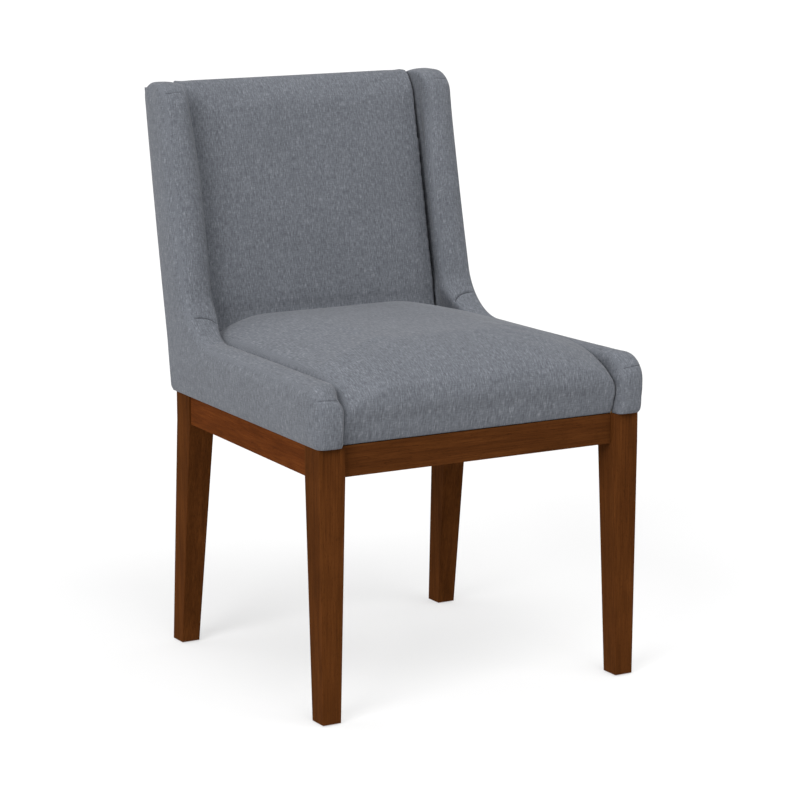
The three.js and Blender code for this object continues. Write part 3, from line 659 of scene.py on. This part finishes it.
def swollen(piece, freedom, start_in, limit):
    """Blows the piece up as cloth. Freedom is 1 where it may move, and 0 where it is held."""
    points, normals = points_of(piece), normals_of(piece)
    free = freedom(points, normals)
    begin = points - normals * (free * start_in)[:, None]
    set_points(piece, begin)
    held = piece.vertex_groups.new(name="held")
    for index, share in enumerate(1 - free):
        if share > 0:
            held.add([index], float(share), "REPLACE")
    cloth = piece.modifiers.new("Cloth", "CLOTH")
    cloth.settings.vertex_group_mass = "held"
    cloth.settings.use_pressure = True
    cloth.settings.uniform_pressure_force = PRESSURE
    cloth.settings.effector_weights.gravity = 0
    cloth.settings.quality = 4
    cloth.collision_settings.use_collision = False
    cloth.point_cache.frame_start = 1
    cloth.point_cache.frame_end = SIM_FRAMES
    for step in range(1, SIM_FRAMES + 1):
        scene.frame_set(step)
    apply_modifiers(piece)
    scene.frame_set(1)
    moved = points_of(piece) - begin
    reach = np.linalg.norm(moved, axis=1)
    most = np.maximum(free * limit, MERGE)
    shorter = most * np.tanh(reach / most) / np.maximum(reach, MERGE)
    set_points(piece, begin + moved * shorter[:, None])
    piece.vertex_groups.clear()
    print(piece.name, "swelled by up to", round(float((reach * shorter).max()) / MM, 1), "mm")


def dressed(piece, fill, *replaced):
    """Gives an upholstered piece its fabric, hides the plain parts that it replaces, and hangs it
    on the root.
    """
    piece.data.materials.clear()
    piece.data.materials.append(fabric)
    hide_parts(*replaced)
    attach(piece, "root")
    print(piece.name, "faces:", len(piece.data.polygons))


print("simulation steps:", SIM_FRAMES)

# %% [markdown]
# Foam
#
# Nobody sees the foam, but a cover only looks right over something that could carry it. Both
# blocks get rounded, slightly compressed edges, and later carve the hollows of their covers.

# %% Foam blocks
FOAM_VOXEL = 7 * MM


def foam_block(name, node):
    """A foam block with softened edges. Returns it, and a grown copy to carve with."""
    piece = remeshed(object_from(node_form(node), name), FOAM_VOXEL)
    evened(piece, 3)
    piece.data.materials.append(foam)
    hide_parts(node)
    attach(piece, "root")
    return piece, grown(form_of(piece), CLEARANCE)


seat_block, seat_room = foam_block("seat_foam_block", "seat_foam")
back_block, back_room = foam_block("back_foam_block", "back_foam")
print("foam faces:", len(seat_block.data.polygons), len(back_block.data.polygons))

# %% [markdown]
# Wing panels
#
# Each wing is one L-shaped plywood panel, wrapped in foam and fabric: a low arm that sweeps
# up into a tall upright. Its outline is a polygon with a vertex bevel of its own at each
# corner. At the bottom and rear it runs on a little past the shell, because the padding is
# cut off flat there, where it is stapled.

# %% Wing outline
WING_VOXEL = 3.4 * MM
CUT_OFF = 12 * MM
RUN_REAR, RUN_DOWN = 1.7 * MM, 3 * MM
ARM_TOP, ARM_FRONT = 459.2 * MM, -11.5 * MM
FOOT = SHELL_BOTTOM - RUN_DOWN
# Depth, height and corner radius
WING_CORNERS = [
    (ARM_FRONT + 4 * MM, FOOT, 13.5 * MM),
    (rear_line(FOOT) + RUN_REAR, FOOT, 0),
    *[(rear_line(z * MM) + RUN_REAR, z * MM, 0) for z in (449, 521, 594, 666, 739)],
    (rear_line(SHELL_TOP) + RUN_REAR, SHELL_TOP, 20 * MM),
    (480.7 * MM, SHELL_TOP, 36 * MM),
    (410.9 * MM, ARM_TOP, 80 * MM),
    (ARM_FRONT, ARM_TOP, 36 * MM),
    (ARM_FRONT, FOOT + 34 * MM, 120 * MM),
]


def round_corner(form, vertex, radius):
    """Rounds one corner of a flat outline with an arc of that radius."""
    sides = [(edge.other_vert(vertex).co - vertex.co) for edge in vertex.link_edges]
    reach = radius / math.tan(sides[0].angle(sides[1]) / 2)
    bmesh.ops.bevel(
        form, geom=[vertex], offset=reach, offset_type="OFFSET", affect="VERTICES",
        segments=12, profile=0.5, material=-1, clamp_overlap=False)


def wing_outline():
    """The outline's points, as rows of x, depth and height, in order."""
    form = bmesh.new()
    outline = [form.verts.new((0, depth, height)) for depth, height, _ in WING_CORNERS]
    form.faces.new(outline)
    for vertex, (_, _, radius) in zip(outline, WING_CORNERS):
        if radius:
            round_corner(form, vertex, radius)
    points = np.array([loop.vert.co for loop in form.faces[:][0].loops])
    form.free()
    return points


outline = wing_outline()
print("wing outline points:", len(outline))

# %% [markdown]
# The slab is a row of such outlines across the panel's thickness, bridged. Near both faces
# each outline steps inward along a quarter round, whose radius differs from place to place:
# on the inside the upright's front edge rolls widely back into the crease, its top stays
# nearly flat up to the back, and the arm, which is a little thinner, turns more tightly. The
# slab is built square to the axes, because the grid of the remesh is, and turned later.

# %% Wing slab
ROUND_STEPS = 6
PLUMP = 0.8 * MM
# Roundings of the outer rim, and of the inner rim along the outline's plane and across it
BOTTOM_RIMS = (13 * MM, 6 * MM, 6 * MM)
ARM_FRONT_RIMS = (13 * MM, 14 * MM, 12 * MM)
ARM_TOP_RIMS = (13 * MM, 12 * MM, 12 * MM)
REAR_RIMS = (13 * MM, 2 * MM, 2 * MM)
UPRIGHT_RIMS = (13 * MM, 21 * MM, 17 * MM)
WING_TOP_RIMS = (13 * MM, 5 * MM, 22 * MM)
CORNER_EXTRA = (1 * MM, 16 * MM, 14 * MM)
CORNER_ZONE = 40 * MM
UPRIGHT_START, UPRIGHT_FULL = ARM_TOP + 5 * MM, ARM_TOP + 60 * MM
ARM_THINNER, THIN_FADE = 2.4 * MM, 40 * MM


def arm_thinner(height):
    """How much thinner the panel is at the arm than at the upright."""
    return ARM_THINNER * (1 - ramp(height, ARM_TOP, ARM_TOP + THIN_FADE))


def mixed(first, second, share):
    return first + (second - first) * share


def rim_radius(points, outward, side):
    """One of the three roundings of the rim, at each point of the outline."""
    radius = mixed(ARM_FRONT_RIMS[side], ARM_TOP_RIMS[side], ramp(outward[:, 2], 0, 1))
    tall = mixed(REAR_RIMS[side], UPRIGHT_RIMS[side], ramp(-outward[:, 1], 0, 0.8))
    tall = mixed(tall, WING_TOP_RIMS[side], ramp(outward[:, 2], 0.3, 1))
    radius = mixed(radius, tall, ramp(points[:, 2], UPRIGHT_START, UPRIGHT_FULL))
    radius += CORNER_EXTRA[side] * (2 * outward[:, 1] * outward[:, 2]) ** 2 * (
        points[:, 1] < ARM_FRONT + CORNER_ZONE)
    return mixed(radius, BOTTOM_RIMS[side], ramp(-outward[:, 2], 0, 1))


def wing_slab():
    run = np.roll(outline, -1, axis=0) - np.roll(outline, 1, axis=0)
    outward = np.column_stack([run[:, 0], run[:, 2], -run[:, 1]])
    outward /= np.linalg.norm(outward, axis=1)[:, None]
    angles = np.linspace(0, math.pi / 2, ROUND_STEPS)
    outer, inner, deep = (rim_radius(outline, outward, side)[:, None] for side in range(3))
    across = np.array([1.0, 0, 0])
    thick = PANEL_THICK - arm_thinner(outline[:, 2:])
    rings = [outline + PLUMP * outward - inner * (1 - math.cos(a)) * outward
             + (deep * (1 - math.sin(a)) - thick) * across for a in angles[::-1]]
    rings += [outline + PLUMP * outward - outer * (1 - math.cos(a)) * outward
              + (PLUMP - outer * (1 - math.sin(a))) * across for a in angles]
    form = bmesh.new()
    loops = []
    for ring in rings:
        corners = [form.verts.new(point) for point in ring]
        loops.append([form.edges.new(pair) for pair in zip(corners, corners[1:] + corners[:1])])
        if len(loops) in (1, len(rings)):
            form.faces.new(corners)
    for near, far in zip(loops, loops[1:]):
        bmesh.ops.bridge_loops(form, edges=near + far)
    bmesh.ops.recalc_face_normals(form, faces=form.faces)
    return form


wing = object_from(wing_slab(), "right_wing")
print("wing slab points:", len(wing.data.vertices))

# %% [markdown]
# Then comes the padding. It is thickest in the middle of the outer face. On the inner face
# it bunches up above the bend, where the cover is pulled round a hollow curve, and is drawn
# back into a deep crease where the back meets it. The cloth simulation takes the stiffness
# out of the rest: it is free on the outside, over the top and round the front, and held
# along the inner face and near the cut.

# %% Wing padding
REAR_TRIM = 4.3 * MM
FAR = 400 * MM
WING_SWELL, WING_START_IN, WING_HOLD = 1.6 * MM, 1.0 * MM, 9 * MM
PILLOW, PILLOW_REACH = 2.5 * MM, 22 * MM


def thickened(form, move):
    """Makes a closed form from a sheet, by an extrusion over a distance."""
    far_side = bmesh.ops.extrude_face_region(form, geom=form.faces[:])["geom"]
    moved = [item for item in far_side if isinstance(item, bmesh.types.BMVert)]
    bmesh.ops.translate(form, verts=moved, vec=move)
    bmesh.ops.recalc_face_normals(form, faces=form.faces)
    return form


def room_behind(inset, top):
    """The space behind the rear line, moved forward by an inset, as a tool to carve with."""
    form = bmesh.new()
    bmesh.ops.create_grid(form, x_segments=1, y_segments=12, size=0.5)
    low = SHELL_BOTTOM - 2 * CUT_OFF
    for vertex in form.verts:
        height = low + (vertex.co.y + 0.5) * (top - low)
        depth = FRONT + rear_line(height) - inset
        vertex.co = (FAR if vertex.co.x > 0 else -FAR, depth, height)
    return thickened(form, (0, FAR, 0))


def padded_out(piece):
    """Pushes out the middle of the outer face, and the inner face above the bend."""
    points, normals = points_of(piece), normals_of(piece)
    flat = points * (0, 1, 1)
    rim_gap = distance_to_path(flat, np.vstack([outline, outline[:1]]))[0]
    outward = PILLOW * (1 - np.exp(-(rim_gap / PILLOW_REACH) ** 2)) * ramp(normals[:, 0], 0, 1)
    inward = inner_bulge(points[:, 1], points[:, 2]) - crease_dip(points[:, 1], points[:, 2])
    inward *= ramp(-points[:, 0], PANEL_THICK / 2, PANEL_THICK)
    points[:, 0] += outward - inward
    set_points(piece, points)
    print(piece.name, "padding of", round(float(outward.max()) / MM, 1), "mm outside and",
          round(float(inward.max()) / MM, 1), "mm inside")


def wing_freedom(points, normals):
    rear = np.array([rear_line(z) for z in points[:, 2]]) - REAR_TRIM - points[:, 1]
    foot = points[:, 2] - SHELL_BOTTOM
    inner = ramp(normals[:, 0], -0.7, -0.3)
    return ramp(foot, 0, WING_HOLD) * ramp(rear, 0, WING_HOLD) * inner


remeshed(wing, WING_VOXEL)
padded_out(wing)
evened(wing, 1)
swollen(wing, wing_freedom, WING_START_IN, WING_SWELL)
subdivided(wing)

# %% [markdown]
# A remesh and a smoothing take a little off the top, so each padded piece is raised back to
# its height. The wing is then turned about its front outer line to the taper of the seat,
# and cut off flat at the bottom and along the rear line. Room is carved in it for its plywood
# core and for the frames that meet the core.

# %% Wings in place
RAISE_FROM = 0.75
WING_HIGHER = 1.2 * MM
SHARP_FROM = math.radians(50)


def raised(piece, height):
    """Stretches the upper part of the piece until it reaches its height."""
    points = points_of(piece)
    low, high = points[:, 2].min(), points[:, 2].max()
    share = ramp(points[:, 2], low + (high - low) * RAISE_FROM, high)
    points[:, 2] += (height - high) * share
    set_points(piece, points)
    print(piece.name, "raised by", round((height - high) / MM, 1), "mm")


def turned_to_taper(points):
    """From the drawing's depth and height to the chair's frame, at the panel's plan angle."""
    cosine, sine = math.cos(PANEL_TURN), math.sin(PANEL_TURN)
    x, y, z = points.T
    return np.column_stack([
        PANEL_OUTER + x * cosine - y * sine, FRONT + x * sine + y * cosine, z])


raised(wing, SHELL_TOP + WING_HIGHER)
set_points(wing, turned_to_taper(points_of(wing)))
below = block_form((-FAR, -FAR, 0), (FAR, FAR, SHELL_BOTTOM))
carved(wing, [below, room_behind(REAR_TRIM, SHELL_TOP + CUT_OFF)] + [
    node_form(name, CLEARANCE) for name in (
        "right_wing_core", "seat_frame_front", "seat_frame_rear", "seat_frame_right",
        "back_lower_rail", "back_top_rail")])
print("right wing faces:", len(wing.data.polygons))

# %% [markdown]
# Darts
#
# Flat cloth can't follow an edge that turns in two directions, so the upholsterer folds the
# spare cloth into short darts: one in the bend between arm and upright, one over the front
# of the arm, and one below the top of the wing. Each shows as a thin dark line in a shallow
# groove: the groove is pressed into the mesh, and the dark line is painted shade. The mesh is
# made finer around the line and pressed in, and the painted shade along the fold is kept in
# the crease attribute, which the fabric's material darkens by.

# %% Darts
# The last width is how far the painted shade along a fold spreads
DART_ROOM, GROOVE_WIDTH, FOLD_SHADE_WIDTH = 8 * MM, 2.2 * MM, 0.75 * MM
PATH_STEPS = 4
# Where a dart fades out, as a share of its length from its start and from its end
START_FADE, END_FADE = 0.3, 0.12
# Points are x, depth from the middle of the chair, and height, in mm
BEND_DART = [(237, 137, 485), (229, 135.6, 488.5), (219, 135.3, 488.3), (210, 134.2, 486.8),
             (203, 132.8, 483.9), (197, 129.5, 479.8), (195, 128.5, 477)]
ARM_DART = [(254, -269, 441), (250, -273, 441.7), (241, -276, 442), (229, -276, 442),
            (220, -274, 441)]
TOP_DART = [(233, 217, 799.3), (226, 213, 799.8), (216, 213.5, 801), (207, 213.5, 801.4)]


def laid_on(form, path):
    """The path in steps of a few millimetres, each moved to the nearest place on the form."""
    steps = np.concatenate([
        np.linspace(start, end, PATH_STEPS, endpoint=False)
        for start, end in zip(path, path[1:])] + [path[-1:]])
    tree = BVHTree.FromBMesh(form)
    return np.array([tree.find_nearest(Vector(point))[0] for point in steps])


def sewn_dart(piece, path, depth, shade_strength):
    form = form_of(piece)
    path = laid_on(form, np.array(path) * MM)
    for room in (DART_ROOM, DART_ROOM / 2):
        middles = np.array([face.calc_center_median() for face in form.faces])
        near = np.flatnonzero(distance_to_path(middles, path)[0] < room)
        form.faces.ensure_lookup_table()
        edges = {edge for i in near for edge in form.faces[int(i)].edges}
        bmesh.ops.subdivide_edges(form, edges=list(edges), cuts=1, use_grid_fill=True)
    form.to_mesh(piece.data)
    form.free()
    points = points_of(piece)
    gap, share = distance_to_path(points, path)
    ends = ramp(share, 0, START_FADE) * ramp(1 - share, 0, END_FADE)
    groove = np.exp(-(gap / GROOVE_WIDTH) ** 2) * ends
    set_points(piece, points - normals_of(piece) * (groove * depth)[:, None])
    # The crease attribute holds painted shade along the fold, for the fabric to darken by
    if "crease" not in piece.data.attributes:
        piece.data.attributes.new("crease", "FLOAT", "POINT")
    fold_shade_values = piece.data.attributes["crease"].data
    before = np.empty(len(fold_shade_values))
    fold_shade_values.foreach_get("value", before)
    fold_shade_values.foreach_set("value", np.maximum(
        before, np.exp(-(gap / FOLD_SHADE_WIDTH) ** 2) * ends * shade_strength))
    print(piece.name, "dart of", round(float(np.linalg.norm(path[-1] - path[0])) / MM), "mm")


sewn_dart(wing, BEND_DART, 1.8 * MM, 0.85)
sewn_dart(wing, ARM_DART, 1.0 * MM, 0.6)
sewn_dart(wing, TOP_DART, 1.0 * MM, 0.6)
for face in wing.data.polygons:
    face.use_smooth = True
wing.data.set_sharp_from_angle(angle=SHARP_FROM)
dressed(wing, 0.9, "right_wing_cover")

# %% [markdown]
# Left wing
#
# Both wings are cut from one pattern, so the left one is the right one mirrored. That turns
# it inside out, so its faces are reversed.

# %% Left wing
left_form = form_of(wing)
bmesh.ops.scale(left_form, verts=left_form.verts, vec=(-1, 1, 1))
bmesh.ops.reverse_faces(left_form, faces=left_form.faces)
left_wing = object_from(left_form, "left_wing")
dressed(left_wing, 0.9, "left_wing_cover")

# %% [markdown]
# Seat cushion
#
# The seat is one thick crowned cushion. Its cover rolls down at both sides into the crease
# along the wings, and falls over the front in a wide waterfall, which curls back under at
# its foot, where it is stapled. A cube is cut into small squares, and each point is carried
# to its place by one rule: how wide the seat is there, how far its rolled edges have dropped,
# how its foot curls under, and how its rear settles against the raked back. That gives a
# smoother start than the CAD solid's few faces would.

# %% Rules of the cushions
CUBE_CUTS = 46
SIDE_GAP = 0.3 * MM
ROLL_POWER = 1.5
BACK_THICK = 38 * MM


def roll(share):
    """How far a rolled edge has dropped, as a share, at a share of its reach from the edge."""
    rest = 1 - min(max(share, 0), 1)
    return 1 - (1 - rest ** ROLL_POWER) ** (1 / ROLL_POWER)


def spread(share):
    """Draws points together towards the edges of a cushion, where it curves most."""
    return math.sin(share * math.pi / 2)


def cushion_form(place):
    """A cube of small squares, with each point carried to its place on the cushion."""
    form = bmesh.new()
    bmesh.ops.create_cube(form, size=2)
    bmesh.ops.subdivide_edges(form, edges=form.edges[:], cuts=CUBE_CUTS, use_grid_fill=True)
    for vertex in form.verts:
        x, depth, height = place(*vertex.co)
        vertex.co = (x, FRONT + depth, height)
    bmesh.ops.recalc_face_normals(form, faces=form.faces)
    return form


print("half width at the front in mm:", round(panel_inner(0) / MM, 1))

# %% Seat form
SEAT_FRONT, SEAT_TOP = -6 * MM, 495 * MM
SEAT_TUCK, TUCK_FROM, TUCK_POWER = 15 * MM, 444 * MM, 1.8
REAR_CORNER, FRONT_CORNER = 30 * MM, 4 * MM
SEAT_SIDE_DROP, SEAT_SIDE_REACH = 37 * MM, 80 * MM
SEAT_EDGE_DROP, SEAT_EDGE_REACH = 6 * MM, 14 * MM
SEAT_FRONT_DROP, SEAT_FRONT_REACH = 48 * MM, 110 * MM
SEAT_REAR_DROP, SEAT_REAR_REACH = 15 * MM, 200 * MM
SEAT_REAR_ROLL, SEAT_ROLL_REACH = 9 * MM, 36 * MM
SETTLE_PASSES = 5


def corner_cut(distance, radius):
    """How much a corner rounded in plan takes off the width, at a distance from its end."""
    short = radius - min(max(distance, 0), radius)
    return radius - math.sqrt(radius ** 2 - short ** 2)


def seat_place(u, v, w):
    """Where a point of the cube lies on the seat. It settles against the raked back."""
    share = (w + 1) / 2
    height = SHELL_BOTTOM + (SEAT_TOP - SEAT_REAR_DROP - SHELL_BOTTOM) * share
    for _ in range(SETTLE_PASSES):
        low = min(max((TUCK_FROM - height) / (TUCK_FROM - SHELL_BOTTOM), 0), 1)
        front = SEAT_FRONT + SEAT_TUCK * low ** TUCK_POWER
        rear = rear_line(height) - BACK_THICK - SIDE_GAP
        depth = front + (rear - front) * (spread(v) + 1) / 2
        wider = float(arm_thinner(height))
        half = panel_inner(depth) + wider - float(inner_bulge(depth, height)) - SIDE_GAP
        behind = rear - depth
        half -= corner_cut(behind, REAR_CORNER) + corner_cut(depth - front, FRONT_CORNER)
        x = spread(u) * half
        beside = half - abs(x)
        drop = SEAT_SIDE_DROP * roll(beside / SEAT_SIDE_REACH)
        drop += SEAT_EDGE_DROP * roll(beside / SEAT_EDGE_REACH)
        drop += SEAT_FRONT_DROP * roll((depth - front) / SEAT_FRONT_REACH)
        drop += SEAT_REAR_DROP * roll(behind / SEAT_REAR_REACH)
        drop += SEAT_REAR_ROLL * roll(behind / SEAT_ROLL_REACH)
        height = SHELL_BOTTOM + (SEAT_TOP - drop - SHELL_BOTTOM) * share
    return x, depth, height


seat = object_from(cushion_form(seat_place), "seat_cushion")
print("seat points:", len(seat.data.vertices))

# %% [markdown]
# The cloth of the seat is held where it presses on the wings and the back, and at its lower
# edge. Everything else may swell a little from a start just inside the drawn form.

# %% Seat padding
SEAT_VOXEL = 4.5 * MM
SEAT_HOLD, SEAT_REACH = 3 * MM, 26 * MM
CREASE_HOLD, CREASE_REACH = 2 * MM, 20 * MM
SEAT_SWELL, SEAT_START_IN = 2.8 * MM, 1.5 * MM
SEAT_FRAME_START, DECK_TOP = 12 * MM, 399 * MM


def from_sides(points):
    """0 at the crease along the wings, and 1 a thumb's breadth inside it."""
    inner = panel_inner(points[:, 1] - FRONT) - np.abs(points[:, 0])
    return ramp(inner, CREASE_HOLD, CREASE_REACH)


def seat_freedom(points, normals):
    foot = ramp(points[:, 2] - SHELL_BOTTOM, SEAT_HOLD, SEAT_REACH)
    rear = ramp(-normals[:, 1], -0.45, -0.2)
    up = ramp(normals[:, 2], -0.5, -0.1)
    return from_sides(points) * foot * rear * up


remeshed(seat, SEAT_VOXEL)
swollen(seat, seat_freedom, SEAT_START_IN, SEAT_SWELL)
evened(seat, 2, seat_freedom)
subdivided(seat)
raised(seat, SEAT_TOP)
carved(seat, [seat_room, block_form(
    (-FAR, FRONT + SEAT_FRAME_START - CLEARANCE, 0), (FAR, FAR, DECK_TOP))])
dressed(seat, 0.85, "seat_cover")

# %% [markdown]
# Inside back
#
# The inside back is a flatter cushion, gently crowned, and rolled over the top rail. Its front
# edges stand a little off the uprights, which leaves a dark crease, and further behind it
# presses on them. Just above the seat it puffs forward. It is made like the seat.

# %% Inside back
BACK_VOXEL = 3.6 * MM
BACK_TOP, BACK_CROWN = 811 * MM, 4 * MM
BACK_PUFF, PUFF_REACH = 2 * MM, 18 * MM
BACK_TOP_ROLL, BACK_TOP_REACH = 18 * MM, 32 * MM
BACK_FRAME_DEPTH = 24.4 * MM
BACK_SWELL, BACK_START_IN = 2.5 * MM, 1.5 * MM
SEAT_REAR_TOP = SEAT_TOP - SEAT_REAR_DROP
OPEN_GAP, GAP_START, GAP_END = 2.5 * MM, 14 * MM, 34 * MM


def side_gap(behind):
    """The crease beside the cushion: open at its front face, and shut some way behind it."""
    return SIDE_GAP + OPEN_GAP * (1 - float(ramp(behind, GAP_START, GAP_END)))


def back_place(u, v, w):
    """Where a point of the cube lies on the back. v is -1 on its front, and 1 on its rear."""
    height = DECK_TOP + SIDE_GAP + (BACK_TOP - DECK_TOP - SIDE_GAP) * (spread(w) + 1) / 2
    across = spread(u)
    above = min(max((height - SEAT_REAR_TOP) / (BACK_TOP - SEAT_REAR_TOP), 0), 1)
    puffed = float(ramp(height, SEAT_REAR_TOP, SEAT_REAR_TOP + PUFF_REACH))
    thick = BACK_THICK + BACK_PUFF * puffed
    thick += BACK_CROWN * (1 - across ** 2) * math.sin(math.pi * above)
    thick -= BACK_TOP_ROLL * roll((BACK_TOP - height) / BACK_TOP_REACH)
    front = rear_line(height) - thick
    depth = front + (rear_line(height) - REAR_TRIM - front) * (v + 1) / 2
    half = panel_inner(depth) - side_gap(depth - front)
    return across * half, depth, height


def back_freedom(points, normals):
    front = ramp(-normals[:, 1] + normals[:, 2], 0.1, 0.5)
    return from_sides(points) * front


back = object_from(cushion_form(back_place), "back_cushion")
remeshed(back, BACK_VOXEL)
swollen(back, back_freedom, BACK_START_IN, BACK_SWELL)
evened(back, 1, back_freedom)
subdivided(back)
raised(back, BACK_TOP)
carved(back, [back_room, room_behind(
    BACK_FRAME_DEPTH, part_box("back_top_rail")[1][2] + CLEARANCE)])
dressed(back, 0.8, "inside_back_cover")

# %% [markdown]
# Outside back
#
# The rear is closed by a panel of card and thin wadding, covered in the same fabric and
# blind-stitched a few millimetres inside the shell's edges. A grid is laid on the rear line,
# given its thickness, and its rim is rounded, so that light catches the seam all round it.

# %% Outside back
OUTSIDE_THICK, OUTSIDE_RIM = 4 * MM, 1.8 * MM
OUTSIDE_INSET, OUTSIDE_TOP = 3 * MM, 803.3 * MM
OUTSIDE_COLUMNS, OUTSIDE_ROWS = 48, 44


def outside_back_form():
    form = bmesh.new()
    bmesh.ops.create_grid(
        form, x_segments=OUTSIDE_COLUMNS, y_segments=OUTSIDE_ROWS, size=0.5)
    for vertex in form.verts:
        across, up = vertex.co.x * 2, vertex.co.y + 0.5
        height = SHELL_BOTTOM + up * (OUTSIDE_TOP - SHELL_BOTTOM)
        depth = rear_line(height)
        edge = panel_outer(depth) - OUTSIDE_INSET
        vertex.co = (across * edge, FRONT + depth, height)
    rim = [edge for edge in form.edges if edge.is_boundary]
    thickened(form, (0, -OUTSIDE_THICK, 0))
    bmesh.ops.bevel(
        form, geom=rim, offset=OUTSIDE_RIM, offset_type="OFFSET", affect="EDGES",
        segments=4, profile=0.5, material=-1, clamp_overlap=False)
    return form


outside_back = object_from(outside_back_form(), "outside_back")
dressed(outside_back, 1.0, "outside_back_panel")

# %% [markdown]
# Dust cover
#
# A black spun cloth closes the shell from below. It is stapled flat to the seat frame, and
# cut round the corner blocks. It is the CAD solid, cut into small squares, with a slight sag
# in the middle, as such a cloth has after a while.

# %% Dust cover
CLOTH_SQUARE, CLOTH_SAG, CLOTH_THICK = 12 * MM, 2.5 * MM, 0.6 * MM


def squared(form, normal, start, end):
    """Cuts the form along parallel planes, one square apart."""
    steps = int((end - start) / CLOTH_SQUARE)
    for step in range(1, steps):
        place = Vector(normal) * (start + step * CLOTH_SQUARE)
        geometry = form.verts[:] + form.edges[:] + form.faces[:]
        bmesh.ops.bisect_plane(form, geom=geometry, plane_co=place, plane_no=normal)


dust_low, dust_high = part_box("dust_cover")
dust_form = node_form("dust_cover")
squared(dust_form, (1, 0, 0), dust_low[0], dust_high[0])
squared(dust_form, (0, 1, 0), dust_low[1], dust_high[1])
underside = [face for face in dust_form.faces if face.normal.z < -0.9]
flat_area = sum(face.calc_area() for face in underside)
for vertex in dust_form.verts:
    if vertex.co.z > dust_low[2] + CLOTH_THICK:
        vertex.co.z = dust_low[2] + CLOTH_THICK
    x_share = 1 - abs(vertex.co.x) / dust_high[0]
    y_share = min(vertex.co.y - dust_low[1], dust_high[1] - vertex.co.y) / dust_high[1]
    sag = CLOTH_SAG * math.sin(math.pi / 2 * x_share) * math.sin(math.pi / 2 * y_share)
    vertex.co.z -= sag
dust_sheet = object_from(dust_form, "dust_cover_cloth")
dust_sheet.data.materials.append(cambric)
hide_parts("dust_cover")
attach(dust_sheet, "root")
